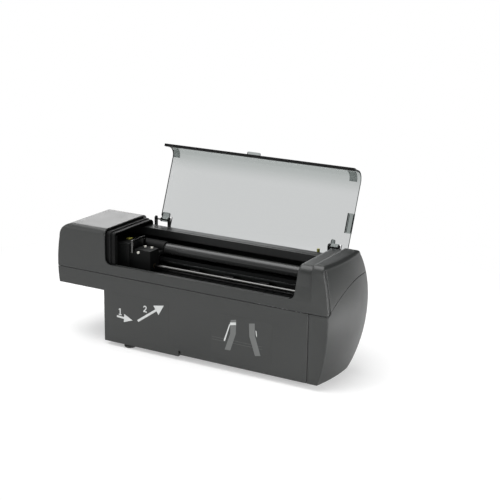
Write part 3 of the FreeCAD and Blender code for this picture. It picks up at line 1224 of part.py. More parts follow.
def make_feet_and_screws():
    feet = []
    for across, along, top in (("foot_left", "foot_front_left", "-skirt_drop"),
                               ("foot_left", "foot_back", "-skirt_drop"),
                               ("foot_right", "foot_front_right", "0"), ("foot_right", "foot_back", "0")):
        foot = new_body(f"foot_{len(feet)}")
        profile = [
            ("0", "-foot_drop"),
            ("foot_radius - foot_edge", "-foot_drop"),
            ("foot_radius", "-foot_drop + foot_edge"),
            ("foot_radius", "-foot_drop + foot_band"),
            ("foot_waist", "-foot_drop + foot_band + foot_radius - foot_waist"),
            ("foot_waist", top),
            ("0", top),
        ]
        spin(foot, "XZ", (across, along, "0"), [profile], "V_Axis")
        feet.append(foot)
    keep("rubber_feet", group("rubber_feet", feet))
    screws = []
    for across, along in screw_places():
        screw = new_body(f"screw_{len(screws)}")
        reach = f"{CHASSIS_TOP} + screw_grip"
        profile = [
            ("0", "-screw_head_height"),
            ("screw_head", "-screw_head_height"),
            ("screw_head", "0"),
            ("screw_radius", "0"),
            ("screw_radius", reach),
            ("0", reach),
        ]
        spin(screw, "XZ", (across, along, "0"), [profile], "V_Axis")
        screws.append(screw)
    keep("case_screws", group("case_screws", screws))


def write_parts():
    os.makedirs("parts", exist_ok=True)
    for feature in doc.Objects:
        if "Invalid" in feature.State or "Error" in feature.State:
            raise ValueError(f"{feature.Label} failed: {feature.State}")
    hinge = Vector(0, number("hinge_depth"), number("hinge_height"))
    opened = Placement(Vector(0, 0, 0), Rotation(Vector(1, 0, 0), -number("lid_open_angle")), hinge)
    turns = {node: opened if node in LID_PARTS else Placement() for node in PARTS}
    placed = []
    for node, piece in PARTS.items():
        if piece.Shape.isNull() or not piece.Shape.isValid():
            raise ValueError(f"{node} has no valid shape")
        shape = piece.Shape.copy()
        shape.Placement = turns[node].multiply(shape.Placement)
        placed.append(shape)
    around = Part.Compound(placed).optimalBoundingBox(False, False)
    origin = Vector((around.XMin + around.XMax) / 2, (around.YMin + around.YMax) / 2, around.ZMin)
    print("origin at", [round(value, 3) for value in origin], "box",
          [round(value, 3) for value in (around.XLength, around.YLength, around.ZLength)])
    for node, piece in PARTS.items():
        piece.Placement = Placement(-origin, Rotation()).multiply(turns[node]).multiply(piece.Placement)
        piece.Shape.exportStep(f"parts/{node}.step")
        print(node, len(piece.Shape.Solids), "solids", round(piece.Shape.Volume / 1000, 2), "cm3")


make_casing()
make_bezel()
make_lid()
make_hinges()
make_frame()
make_rails()
make_drive()
make_carriage()
make_feed()
make_service()
make_electrics()
make_feet_and_screws()
doc.recompute()
write_parts()
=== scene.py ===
# %% [markdown]
# # A wide desktop card printer with its see-through lid open
# The CAD model gives every rigid piece: casing, lid, carriage, rod, rollers and frame. This scene gives each
# piece its material, adds the printed signs on the front and a felt strip in the card slot, and lights the
# whole as a product photographer would.

# %% Set up
import json

import bpy
import numpy as np
from mathutils import Matrix, Vector


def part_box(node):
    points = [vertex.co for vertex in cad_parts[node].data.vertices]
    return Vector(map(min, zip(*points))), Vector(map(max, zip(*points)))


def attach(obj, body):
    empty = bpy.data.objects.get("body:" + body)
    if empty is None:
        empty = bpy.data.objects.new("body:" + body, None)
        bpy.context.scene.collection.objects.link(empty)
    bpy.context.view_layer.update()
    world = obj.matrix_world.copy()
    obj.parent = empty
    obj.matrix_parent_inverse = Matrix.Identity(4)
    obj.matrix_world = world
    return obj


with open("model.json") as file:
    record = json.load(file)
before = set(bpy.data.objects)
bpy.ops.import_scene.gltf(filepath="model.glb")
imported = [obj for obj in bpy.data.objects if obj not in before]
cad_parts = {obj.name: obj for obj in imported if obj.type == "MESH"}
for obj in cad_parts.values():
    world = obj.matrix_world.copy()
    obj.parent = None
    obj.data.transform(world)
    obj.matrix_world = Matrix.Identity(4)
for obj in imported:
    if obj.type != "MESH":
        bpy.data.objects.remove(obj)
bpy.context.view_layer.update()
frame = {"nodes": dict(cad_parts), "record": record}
MM, PER_METRE = 0.001, 1000

# %% [markdown]
# The pieces were drawn in millimetres from the casing's own corner, and the signs are placed from it too.
# The polished guide rod lies at a known place in that drawing, so its box tells where the corner is in the
# frame. The corner could be typed as a number, but that would go wrong with the next change of the casing.

# %% Find the drawing's corner
ROD_AT = np.array([11, 57, 177])    # the rod's left end, and its axis in depth and in height
rod_low, rod_high = (np.array(corner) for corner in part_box("guide_rod"))
rod_middle = (rod_low + rod_high) / 2
CORNER = np.array([rod_low[0], rod_middle[1], rod_middle[2]]) - ROD_AT * MM
print("corner", CORNER.round(4))


def place(points):
    """Drawing points in mm as frame points in metres: p = corner + mm * 0.001."""
    return CORNER + np.asarray(points, float) * MM


# %% [markdown]
# A colour picked from a screen is an sRGB code, while shaders count light in linear shares, so one function
# turns the first into the second. Shader nodes could be laid out by hand in the editor. Here one small
# function adds a node with its settings and links, and a material then reads from top to bottom like a
# recipe.

# %% Colours and nodes
WHITE = (1, 1, 1, 1)


def linear(code):
    """sRGB to linear: c / 12.92 below 0.04045, else ((c + 0.055) / 1.055) ** 2.4."""
    parts = [int(code[at:at + 2], 16) / 255 for at in (1, 3, 5)]
    return [c / 12.92 if c <= 0.04045 else ((c + 0.055) / 1.055) ** 2.4 for c in parts] + [1.0]


def add(block, kind, settings=None, **links):
    """Adds a shader node to a material or world, with its settings and links.

    A setting is a field, or a socket by name or number. A link is a socket's name with _ for each space, or
    in_ and the socket's number.
    """
    tree = block.node_tree
    node = tree.nodes.new(kind)
    for key, value in (settings or {}).items():
        if isinstance(key, int) or key in node.inputs:
            node.inputs[key].default_value = value
        else:
            setattr(node, key, value)
    for key, source in links.items():
        socket = int(key[3:]) if key.startswith("in_") else key.replace("_", " ")
        tree.links.new(source, node.inputs[socket])
    return node


def fresh(block):
    """Gives a new material or world an empty node tree."""
    block.use_nodes = True
    block.node_tree.nodes.clear()
    return block


print("a screen's middle grey is", round(linear("#808080")[0], 3), "in linear light")

# %% [markdown]
# A moulded shell has no sharp edge: the radius catches a thin line of light. A Bevel modifier could cut that
# radius, but the CAD meshes stay as they are, so the Bevel node only bends the shading near the edges. The
# long ridge of the bowed right end and the crown of the casing are much rounder, and the node gets a wider
# radius there.

# %% Soft edges
EDGE_RAYS, RIDGE_RAYS = 4, 8
RIDGE_FROM, RIDGE_BACK, CROWN_ABOVE = place((648, 12, 238))
print("rounder right of x", RIDGE_FROM.round(3), "and above z", CROWN_ABOVE.round(3))


def soft_edges(material, where, edge_mm, ridge_mm):
    """Radius ridge_mm where x > ridge start and y < ridge back, or z > crown; edge_mm elsewhere."""
    if not ridge_mm:
        return add(material, "ShaderNodeBevel", {"samples": EDGE_RAYS, "Radius": edge_mm * MM})
    at = add(material, "ShaderNodeSeparateXYZ", Vector=where.outputs["Object"])
    right = add(material, "ShaderNodeMath", {"operation": "GREATER_THAN", 1: RIDGE_FROM},
                in_0=at.outputs["X"])
    front = add(material, "ShaderNodeMath", {"operation": "LESS_THAN", 1: RIDGE_BACK},
                in_0=at.outputs["Y"])
    crown = add(material, "ShaderNodeMath", {"operation": "GREATER_THAN", 1: CROWN_ABOVE},
                in_0=at.outputs["Z"])
    ridge = add(material, "ShaderNodeMath", {"operation": "MULTIPLY"}, in_0=right.outputs["Value"],
                in_1=front.outputs["Value"])
    either = add(material, "ShaderNodeMath", {"operation": "MAXIMUM"}, in_0=ridge.outputs["Value"],
                 in_1=crown.outputs["Value"])
    radius = add(material, "ShaderNodeMapRange", {"To Min": edge_mm * MM, "To Max": ridge_mm * MM},
                 Value=either.outputs["Value"])
    return add(material, "ShaderNodeBevel", {"samples": RIDGE_RAYS}, Radius=radius.outputs["Result"])


# %% [markdown]
# Hands rub the outer edges of a casing a little paler, and hardly any light comes back out of the seams
# between its shells, so the seams get painted shade. The wear is worked out: an outer edge is where the mesh
# is
# pointed. So is the shade: a seam is where most short rays from the surface hit another wall, and there the
# colour is darkened.

# %% Worn edges and painted seam shade
WORN_CODE, SEAM_SHADE_CODE = "#C8C8C6", "#020202"
EDGE_STARTS, EDGE_FULL = 0.52, 0.6
SEAM_RAYS, SEAM_SHUT, SEAM_OPEN, SEAM_LEAST = 8, 0.35, 0.85, 0.05
print("worn edges from pointiness", EDGE_STARTS, "and seams below", SEAM_OPEN, "of open air")


def worn_colour(material, code, worn):
    """Pale share: 0 up to pointiness 0.52, then rising evenly to worn at 0.6."""
    shape = add(material, "ShaderNodeNewGeometry")
    share = add(material, "ShaderNodeMapRange",
                {"From Min": EDGE_STARTS, "From Max": EDGE_FULL, "To Max": worn},
                Value=shape.outputs["Pointiness"])
    return add(material, "ShaderNodeMix", {"data_type": "RGBA", 6: linear(code), 7: linear(WORN_CODE)},
               in_0=share.outputs["Result"])


def painted_seam_shade(material, clean, seam_shade_mm):
    """Painted seam shade. Share of the clean colour: 0.05 where 35 % of the rays get seam_shade_mm away,
    rising evenly to 1 at 85 %.
    """
    rays = add(material, "ShaderNodeAmbientOcclusion", {"samples": SEAM_RAYS, "Distance": seam_shade_mm * MM})
    share = add(material, "ShaderNodeMapRange",
                {"From Min": SEAM_SHUT, "From Max": SEAM_OPEN, "To Min": SEAM_LEAST},
                Value=rays.outputs["AO"])
    return add(material, "ShaderNodeMix", {"data_type": "RGBA", 6: linear(SEAM_SHADE_CODE)},
               in_0=share.outputs["Result"], in_7=clean.outputs[2])


# %% [markdown]
# Moulded, painted, ground and drawn pieces then share one recipe. A fine grain moves the normal, and a wide
# cloud varies the roughness, since no surface is equally smooth all over. Each finish differs only in its
# numbers, so one function makes them all. A drawn or ground piece has its grain stretched along its length.

# %% The recipe for solid pieces
GRAIN_DETAIL, CLOUD_DETAIL = 3.0, 4.0
CLOUD_MM, ROUGHNESS_SPREAD = 60, 0.06
print("roughness varies by", ROUGHNESS_SPREAD, "over about", CLOUD_MM, "mm")


def solid_finish(name, code, roughness, metal=0.0, grain_mm=0.4, grain_depth=0.15, edge_mm=0.5, worn=0.06,
                 stretch=(1, 1, 1), specular=0.5, ridge_mm=0.0, seam_shade_mm=0.0):
    """Roughness: its mean +- 0.06 by a 60 mm cloud. Normal: the soft edge's, moved by grain_depth * noise."""
    material = fresh(bpy.data.materials.new(name))
    where = add(material, "ShaderNodeTexCoord")
    cloud = add(material, "ShaderNodeTexNoise", {"Scale": PER_METRE / CLOUD_MM, "Detail": CLOUD_DETAIL},
                Vector=where.outputs["Object"])
    rough = add(material, "ShaderNodeMapRange",
                {"To Min": roughness - ROUGHNESS_SPREAD, "To Max": roughness + ROUGHNESS_SPREAD},
                Value=cloud.outputs["Fac"])
    drawn = add(material, "ShaderNodeMapping", {"Scale": stretch}, Vector=where.outputs["Object"])
    grain = add(material, "ShaderNodeTexNoise", {"Scale": PER_METRE / grain_mm, "Detail": GRAIN_DETAIL},
                Vector=drawn.outputs["Vector"])
    edges = soft_edges(material, where, edge_mm, ridge_mm)
    bump = add(material, "ShaderNodeBump", {"Strength": grain_depth, "Distance": grain_mm * MM},
               Height=grain.outputs["Fac"], Normal=edges.outputs["Normal"])
    colour = worn_colour(material, code, worn)
    # Painted shade: the colour is darkened in the seams.
    if seam_shade_mm:
        colour = painted_seam_shade(material, colour, seam_shade_mm)
    shader = add(material, "ShaderNodeBsdfPrincipled", {"Metallic": metal, "Specular IOR Level": specular},
                 Base_Color=colour.outputs[2], Roughness=rough.outputs["Result"],
                 Normal=bump.outputs["Normal"])
    add(material, "ShaderNodeOutputMaterial", Surface=shader.outputs["BSDF"])
    return material


# %% [markdown]
# The lid is one sheet of smoked acrylic, 4 mm thick and bent hot along its free edge. A glass shader would
# bend each ray at both faces and come out dark and noisy. In so thin a sheet the view hardly shifts, so it
# passes straight through a tinted Transparent shader, once for each face. A glance of gloss is added that
# grows as the eye comes to graze the sheet, but only on the face that the ray enters. The tint deepens
# towards the bend.

# %% The recipe for clear sheets
BEND_FROM, BEND_TO = 0.375, 0.43    # heights on the open lid, in metres
BEND_CODE = "#D2D5D4"
SHEET_GLOSS, SHEET_INDEX = 0.12, 1.22
print("the tint deepens over", round((BEND_TO - BEND_FROM) * PER_METRE), "mm of height")


def sheet_tint(material, code):
    """Colour: code below 0.375 m, blending smoothly into the bend's own colour at 0.43 m."""
    where = add(material, "ShaderNodeTexCoord")
    at = add(material, "ShaderNodeSeparateXYZ", Vector=where.outputs["Object"])
    share = add(material, "ShaderNodeMapRange",
                {"interpolation_type": "SMOOTHSTEP", "From Min": BEND_FROM, "From Max": BEND_TO},
                Value=at.outputs["Z"])
    return add(material, "ShaderNodeMix", {"data_type": "RGBA", 6: linear(code), 7: linear(BEND_CODE)},
               in_0=share.outputs["Result"])


def glance_share(material, geometry):
    """Share of gloss: the reflection at the eye's angle * (1 - 1 on a back face)."""
    angle = add(material, "ShaderNodeFresnel", {"IOR": SHEET_INDEX})
    entering = add(material, "ShaderNodeMath", {"operation": "SUBTRACT", 0: 1.0},
                   in_1=geometry.outputs["Backfacing"])
    return add(material, "ShaderNodeMath", {"operation": "MULTIPLY"}, in_0=angle.outputs["Fac"],
               in_1=entering.outputs["Value"])


# %% [markdown]
# A real sheet shows its full depth of smoke at its sawn ends, which look nearly black. The ends face left
# and right, so the sideways part of the normal finds them. A trace of the same dull body colour over the
# whole sheet stands for the fine dust and haze on it.

# %% Clear sheets with dark ends
END_FACES = 0.8    # sideways part of the normal
print("ends face sideways within", np.degrees(np.arccos(END_FACES)).round(), "degrees")


def clear_finish(name, code, body_code, clear):
    """Mix: clear * tinted view + (1 - clear) * body, then the glance; where |normal x| > 0.8, body alone."""
    material = fresh(bpy.data.materials.new(name))
    through = add(material, "ShaderNodeBsdfTransparent", Color=sheet_tint(material, code).outputs[2])
    body = add(material, "ShaderNodeBsdfDiffuse", {"Color": linear(body_code)})
    hazy = add(material, "ShaderNodeMixShader", {"Fac": 1 - clear}, in_1=through.outputs["BSDF"],
               in_2=body.outputs["BSDF"])
    geometry = add(material, "ShaderNodeNewGeometry")
    gloss = add(material, "ShaderNodeBsdfAnisotropic", {"Color": WHITE, "Roughness": SHEET_GLOSS})
    sheet = add(material, "ShaderNodeMixShader", in_0=glance_share(material, geometry).outputs["Value"],
                in_1=hazy.outputs["Shader"], in_2=gloss.outputs["BSDF"])
    normal = add(material, "ShaderNodeSeparateXYZ", Vector=geometry.outputs["True Normal"])
    sideways = add(material, "ShaderNodeMath", {"operation": "ABSOLUTE"}, in_0=normal.outputs["X"])
    ends = add(material, "ShaderNodeMath", {"operation": "GREATER_THAN", 1: END_FACES},
               in_0=sideways.outputs["Value"])
    whole = add(material, "ShaderNodeMixShader", in_0=ends.outputs["Value"], in_1=sheet.outputs["Shader"],
                in_2=body.outputs["BSDF"])
    add(material, "ShaderNodeOutputMaterial", Surface=whole.outputs["Shader"])
    return material


# %% [markdown]
# The record gives each piece a material slot, and each slot gets one material, named for its stuff, for
# how it was made, and for painted shade where it has some. The shells are ABS from a spark-eroded mould: its
# fine texture breaks up every reflection into a soft grey sheen. The real grain is about 0.1 mm, too fine to
# show, so it is drawn about five times as coarse, here and on the other plastics. The parts inside are black
# ABS with a satin face that swallows light. Their colours, and the carriage cover's, are set darker still as
# painted shade, so that the bay looks deep.

# %% Moulded plastics
LOOKS = {
    # The casing's seams get painted shade, with a 4 mm reach.
    "case_dark": solid_finish("anthracite_abs_spark_textured", "#242625", 0.38, grain_mm=0.6, grain_depth=0.1,
                              edge_mm=0.9, worn=0.02, ridge_mm=6.0, seam_shade_mm=4.0),
    # Painted shade: the inner black and the cover's grey are darker than the plastic itself.
    "black_plastic": solid_finish("black_abs_satin_moulded_shade_darkened", "#080909", 0.58, grain_mm=0.5, grain_depth=0.05,
                                  edge_mm=0.8, worn=0.0, specular=0.18),
    "cover_grey": solid_finish("dark_grey_abs_moulded_shade_darkened", "#171818", 0.46, grain_mm=0.5, grain_depth=0.06,
                               worn=0.0, specular=0.2),
    # Small parts that a hand looks for are bright: the yellow tab, and bosses of undyed nylon.
    "tab_yellow": solid_finish("yellow_green_abs_moulded", "#8E8A22", 0.4),
    "white_nylon": solid_finish("nylon_natural_moulded", "#D9D7CE", 0.4),
}
print("plastics", len(LOOKS))

# %% [markdown]
# The lid lets nearly all light through. Its clips are moulded polycarbonate, a thicker and darker smoke. The
# encoder strip is a thin polyester film printed with lines too fine to see, so it reads as plain dark film.

# %% Clear plastics and film
LOOKS |= {
    "smoky_acrylic": clear_finish("smoked_acrylic_bent_sheet", "#E6E7E7", "#3C3F3E", 0.97),
    "smoked_clip": clear_finish("smoked_polycarbonate_moulded", "#C2C6C5", "#2A2C2C", 0.94),
    # The film's colour is set darker than the film itself, as painted shade in the bay.
    "encoder_film": solid_finish("polyester_film_printed_shade_darkened", "#141516", 0.45, grain_mm=0.5, grain_depth=0.01,
                                 edge_mm=0.05, worn=0.0, specular=0.2),
}
print("with clear plastics", len(LOOKS))

# %% [markdown]
# The guide rod is ground and polished steel. Its grinding marks run round it, finer than the render shows,
# so a faint grain stretched along the rod stands for them, and the eye sees one sharp bright line. The sheet
# brackets keep the soft grey of zinc plate, the tube is blackened with oxide and oil, the deck beam is
# painted, and the bushes are brown sintered bronze. The tube and the deck beam sit in the bay, and their
# colours are set darker than their finish as painted shade: the beam's grey paint is drawn nearly black.

# %% Metals
ALONG = (0.05, 1, 1)
LOOKS |= {
    "bright_steel": solid_finish("steel_ground_and_polished", "#565655", 0.22, metal=1.0, grain_mm=0.3,
                                 grain_depth=0.02, stretch=ALONG),
    "zinc_sheet": solid_finish("steel_sheet_zinc_plated", "#6E7272", 0.4, metal=1.0, grain_mm=1.2,
                               grain_depth=0.03),
    # Painted shade: the tube's and the deck beam's colours are darker than their finish.
    "dark_tube": solid_finish("steel_tube_black_oxide_shade_darkened", "#1C1D1E", 0.26, metal=0.3, grain_mm=0.5,
                              grain_depth=0.03, stretch=ALONG),
    "deck_grey": solid_finish("steel_beam_stoved_grey_shade_darkened", "#121313", 0.42, grain_mm=0.8, grain_depth=0.01,
                              edge_mm=1.5, worn=0.0, specular=0.35),
    "bronze_bush": solid_finish("bronze_sintered_oiled", "#6E5632", 0.35, metal=1.0),
}
print("with metals", len(LOOKS))

# %% [markdown]
# Rubber shows hardly any gloss, and each kind has its own dullness: the moulded belt is the dullest, the
# rollers are ground, and the feet are satin. The control board has the smooth green coat that keeps solder
# off.

# %% Rubbers and the board
LOOKS |= {
    "belt_rubber": solid_finish("neoprene_moulded", "#101010", 0.7),
    "roller_rubber": solid_finish("epdm_ground_roller", "#141515", 0.6),
    "foot_rubber": solid_finish("rubber_moulded_satin", "#222222", 0.65),
    "board_green": solid_finish("glass_epoxy_solder_masked", "#1E5A38", 0.3),
}
print("materials", len(LOOKS))

# %% [markdown]
# Dressing a piece means putting its material in the mesh's only slot. The mesh itself stays as it came.

# %% Dress the CAD nodes
SLOT_OF = {part["node"]: part["material_slot"] for part in frame["record"]["subparts"]}
for node, thing in frame["nodes"].items():
    thing.data.materials.clear()
    thing.data.materials.append(LOOKS[SLOT_OF[node]])
print("dressed", len(frame["nodes"]), "nodes")

# %% [markdown]
# The signs on the real front are ink printed on clear film that is stuck to the casing. They could be an
# image, but thin plates keep their edges sharp from any distance. An outline in millimetres along X and Z
# becomes a closed plate that stands a hair proud of the face.

# %% Sign plates
def sign_plate(name, outline, base, thickness, material):
    """A ring of the outline at y = base - thickness and one at y = base, joined by quads and closed."""
    outline = np.asarray(outline, float)
    across, high = outline.T
    turning = np.sum(across * np.roll(high, -1) - np.roll(across, -1) * high)
    if turning < 0:
        outline = outline[::-1]
    count = len(outline)
    rings = [np.column_stack([outline[:, 0], np.full(count, depth), outline[:, 1]])
             for depth in (base - thickness, base)]
    near = np.arange(count)
    following = (near + 1) % count
    sides = np.column_stack([near, near + count, following + count, following])
    faces = [near.tolist(), (near + count)[::-1].tolist()] + sides.tolist()
    mesh = bpy.data.meshes.new(name)
    mesh.from_pydata(place(np.vstack(rings)).tolist(), [], faces)
    mesh.materials.append(material)
    thing = bpy.data.objects.new(name, mesh)
    bpy.context.collection.objects.link(thing)
    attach(thing, "casing")


# %% [markdown]
# The film is a rectangle with rounded corners, so that it doesn't peel. It has nearly the casing's colour
# and only a slightly different gloss, which is all that the eye sees of clear film on dark plastic.

# %% Clear films on the front
FACE, FILM_THICK, FILM_CORNER, CORNER_POINTS = 0.0, 0.12, 2, 6
FILMS = {"sign_film_left": (153, 23, 306, 116), "sign_film_right": (417, 24, 569, 118)}
FILM = solid_finish("clear_polyester_film_applied", "#242625", 0.4, grain_mm=0.6, grain_depth=0.08,
                    edge_mm=0.05, worn=0.02)


def film_outline(left, low, right, high, radius):
    """Rectangle with quarter circles for corners: centre + radius * (cos a, sin a), 90 degrees for each."""
    centres = np.array([(right - radius, high - radius), (left + radius, high - radius),
                        (left + radius, low + radius), (right - radius, low + radius)])
    angles = np.radians(90 * np.arange(4)[:, None] + np.linspace(0, 90, CORNER_POINTS))
    arcs = centres[:, None] + radius * np.stack([np.cos(angles), np.sin(angles)], axis=-1)
    return arcs.reshape(-1, 2)


for name, (left, low, right, high) in FILMS.items():
    sign_plate(name, film_outline(left, low, right, high, FILM_CORNER), FACE, FILM_THICK, FILM)
    print(name, right - left, "x", high - low, "mm")

# %% [markdown]
# The first sign shows the card's way in two steps, in screen-printed white ink: an even, matt layer that
# covers in one pass. Each arrow is a shaft that ends in a triangle, worked out from its tail and its tip.

# %% Arrows
INK_THICK = 0.06
ON_FILM = FACE - FILM_THICK
PRINT_WHITE = solid_finish("white_ink_screen_printed", "#D0D2D1", 0.5, grain_mm=0.3, grain_depth=0.04)


def arrow_outline(tail, tip, shaft, head, reach):
    """Shaft's sides at +- shaft / 2 across the line; the head starts reach before the tip, at +- head / 2."""
    tail, tip = np.array(tail, float), np.array(tip, float)
    along = (tip - tail) / np.linalg.norm(tip - tail)
    across = np.array([-along[1], along[0]])
    neck = tip - along * reach
    return np.array([tail + across * shaft / 2, neck + across * shaft / 2, neck + across * head / 2, tip,
                     neck - across * head / 2, neck - across * shaft / 2, tail - across * shaft / 2])


ARROW_IN = arrow_outline(tail=(165.4, 60.6), tip=(209, 57.6), shaft=4.6, head=20, reach=24)
ARROW_ON = arrow_outline(tail=(223, 59), tip=(294, 108.5), shaft=5.2, head=24, reach=26)
sign_plate("sign_arrow_in", ARROW_IN, ON_FILM, INK_THICK, PRINT_WHITE)
sign_plate("sign_arrow_on", ARROW_ON, ON_FILM, INK_THICK, PRINT_WHITE)
print("arrows end at", ARROW_IN[3], ARROW_ON[3])

# %% [markdown]
# The steps are numbered. A text object would need a font, so each numeral is a plain outline of its own,
# which is scaled and then moved to its place.

# %% Numerals
ONE = np.array([(0, 0), (0, -3), (9, -3), (9, 0), (6.2, 0), (6.2, 15), (3.6, 15), (0, 12.6), (0, 10.2),
                (3.2, 11.6), (3.2, 0)])
TWO = np.array([(0, 0), (0, 2.6), (6.4, 9.6), (7.2, 11.4), (6.6, 13), (4.8, 13.7), (3, 13), (2.3, 11.2),
                (0, 11.6), (1, 14.6), (3, 16.2), (5, 16.6), (7.6, 15.8), (9.4, 13.8), (9.8, 11.2), (8.8, 8.4),
                (4.2, 2.8), (10, 2.8), (10, 0)])
ONE_SCALE, ONE_AT = 0.9, (170.5, 67)
TWO_SCALE, TWO_AT = 0.95, (238.5, 83.5)
sign_plate("sign_numeral_1", ONE * ONE_SCALE + ONE_AT, ON_FILM, INK_THICK, PRINT_WHITE)
sign_plate("sign_numeral_2", TWO * TWO_SCALE + TWO_AT, ON_FILM, INK_THICK, PRINT_WHITE)
print("numerals", len(ONE), "and", len(TWO), "corners")

# %% [markdown]
# The second sign shows two bent strips in grey ink. White touches mark the edge that catches the light, and
# one white band lies over the grey, a layer of ink higher.

# %% Bent strips
PRINT_GREY = solid_finish("grey_ink_screen_printed", "#5E605F", 0.5, grain_mm=0.3, grain_depth=0.04)
STRIPS = {
    "left": ([(466.5, 107), (480, 110), (480.2, 78), (466.5, 37), (452.5, 36.5), (466, 76), (466, 96)],
             ON_FILM, PRINT_GREY),
    "right": ([(512.4, 107.5), (526.2, 110.2), (527.4, 82), (541.8, 39.5), (528.3, 36.5), (513.6, 79)],
              ON_FILM, PRINT_GREY),
    "left_band": ([(465.4, 95), (480.1, 98), (480.1, 104), (465.4, 101)], ON_FILM - INK_THICK, PRINT_WHITE),
    "left_fold": ([(463.6, 97), (465.6, 96), (453, 56), (450, 56), (450.4, 60)], ON_FILM, PRINT_WHITE),
    "right_fold": ([(528.6, 95), (531, 93), (532.6, 80), (530.4, 83)], ON_FILM, PRINT_WHITE),
}
for name, (outline, base, ink) in STRIPS.items():
    sign_plate(f"sign_strip_{name}", outline, base, INK_THICK, ink)
print("strips", len(STRIPS))

# %% [markdown]
# Two faint lines run behind the strips. They are a thinner print, hardly paler than the casing.

# %% Faint lines
LINE_LEFT, LINE_RIGHT, LINE_WIDTH, LINE_HEIGHTS = 420, 545, 0.6, (54.5, 60.5)
FAINT_INK = solid_finish("faint_grey_ink_screen_printed", "#454746", 0.5)
for number, low in enumerate(LINE_HEIGHTS):
    high = low + LINE_WIDTH
    sign_plate(f"sign_rail_line_{number}",
               [(LINE_LEFT, low), (LINE_RIGHT, low), (LINE_RIGHT, high), (LINE_LEFT, high)],
               ON_FILM, INK_THICK / 2, FAINT_INK)
print("lines", len(LINE_HEIGHTS))

# %% [markdown]
# No daylight shows through the machine in the photograph, though a card must pass its back. Machines of this
# kind hang a felt strip in the slot, whose lower edge is cut into tongues that the card pushes aside.
# Pressed felt is matt black and takes nearly all light. Here the strip is also a dark sheet that paints shade
# into the slot, so the bay stays dark. The strip is thin and stiff enough to hang straight, so it is one
# plate whose outline runs down and up round every tongue.

# %% Felt strip in the card slot, a dark sheet of painted shade
FELT_LEFT, FELT_RIGHT, FELT_TOP, FELT_FOOT, FELT_ROOT = 176, 614, 174, 158.9, 168.5
FELT_FACE, FELT_THICK, TONGUES, CUT, CHAMFER = 196.7, 1.2, 24, 0.25, 1
SHADE_FELT = solid_finish("felt_black_pressed_painted_shade", "#0C0C0C", 0.95, grain_mm=1.2, grain_depth=0.3, specular=0.05,
                    worn=0.0)


def tongue_outline():
    """Tongue n starts at left + n * pitch; down it, across its chamfered foot, up and over the cut."""
    number = np.arange(TONGUES)
    pitch = (FELT_RIGHT - FELT_LEFT) / TONGUES
    start, end = FELT_LEFT + number * pitch, FELT_LEFT + (number + 1) * pitch - CUT
    across = np.stack([start, start + CHAMFER, end - CHAMFER, end, end, end + CUT], axis=1)
    heights = [FELT_FOOT + CHAMFER, FELT_FOOT, FELT_FOOT, FELT_FOOT + CHAMFER, FELT_ROOT, FELT_ROOT]
    down = np.tile(heights, (TONGUES, 1))
    return np.stack([across, down], axis=2).reshape(-1, 2)[:-2]


felt = np.vstack([[(FELT_RIGHT, FELT_TOP), (FELT_LEFT, FELT_TOP)], tongue_outline()])
# The dark strip is painted shade in the slot.
sign_plate("slot_felt_strip_painted_shade", felt, FELT_FACE, FELT_THICK, SHADE_FELT)
print("felt strip", len(felt), "corners")

# %% [markdown]
# The camera stands where the photographer's did. Its place and turn were fitted to the straight edges of the
# casing in the photograph: 29 degrees round to the right, 16 degrees down and almost level, with a long
# lens, which keeps the near and far ends of the casing almost the same height.

# %% Camera
LENS_MM, SENSOR_MM, FAR_LIMIT = 88.09, 36, 50    # the limit is in metres
YAW, PITCH, ROLL = np.radians([29.447, 16.125, 0.877])
CAMERA_AT = place((1728.2, -2154.3, 986.7))
ahead = np.array([-np.sin(YAW) * np.cos(PITCH), np.cos(YAW) * np.cos(PITCH), -np.sin(PITCH)])
flat_right = np.array([np.cos(YAW), np.sin(YAW), 0])
flat_up = np.cross(flat_right, ahead)
right = np.cos(ROLL) * flat_right + np.sin(ROLL) * flat_up
up = np.cos(ROLL) * flat_up - np.sin(ROLL) * flat_right
turn = np.eye(4)
turn[:3] = np.column_stack([right, up, -ahead, CAMERA_AT])

camera = bpy.data.objects.new("camera", bpy.data.cameras.new("camera"))
camera.data.lens = LENS_MM
camera.data.sensor_width = SENSOR_MM
camera.data.clip_end = FAR_LIMIT
camera.matrix_world = Matrix(turn.tolist())
bpy.context.collection.objects.link(camera)
bpy.context.scene.camera = camera
print("camera", np.linalg.norm(CAMERA_AT).round(2), "m away")

# %% [markdown]
# In a studio the machine stands on a sweep of white paper, whose far part is lit until it vanishes. One flat
# sheet does for it here. Near the machine it is matt paper that takes the shadow, and with distance it
# blends into plain white light.

# %% Floor
FLOOR_HALF = 6.0
FADE_NEAR, FADE_FAR = 0.55, 1.0    # metres from the machine's middle
PAPER_CODE, PAPER_ROUGHNESS = "#D6D6D6", 0.6
floor_corners = FLOOR_HALF * np.array([(-1, -1, 0), (1, -1, 0), (1, 1, 0), (-1, 1, 0)])
floor_mesh = bpy.data.meshes.new("floor")
floor_mesh.from_pydata(floor_corners.tolist(), [], [(0, 1, 2, 3)])
floor = bpy.data.objects.new("floor", floor_mesh)
bpy.context.collection.objects.link(floor)
paper = fresh(bpy.data.materials.new("floor_white_paper"))
matt = add(paper, "ShaderNodeBsdfDiffuse", {"Color": linear(PAPER_CODE), "Roughness": PAPER_ROUGHNESS})
at = add(paper, "ShaderNodeNewGeometry")
distance = add(paper, "ShaderNodeVectorMath", {"operation": "LENGTH"}, in_0=at.outputs["Position"])
fade = add(paper, "ShaderNodeMapRange",
           {"interpolation_type": "SMOOTHSTEP", "From Min": FADE_NEAR, "From Max": FADE_FAR},
           Value=distance.outputs["Value"])
print("floor", 2 * FLOOR_HALF, "m wide")

# %% [markdown]
# The paper also sends light up. A faint glow all over keeps the shadow soft and pale. A bright patch to the
# right of the machine works like a reflector card: the bowed right end mirrors it, and its lower half turns
# pale grey as in the photograph.

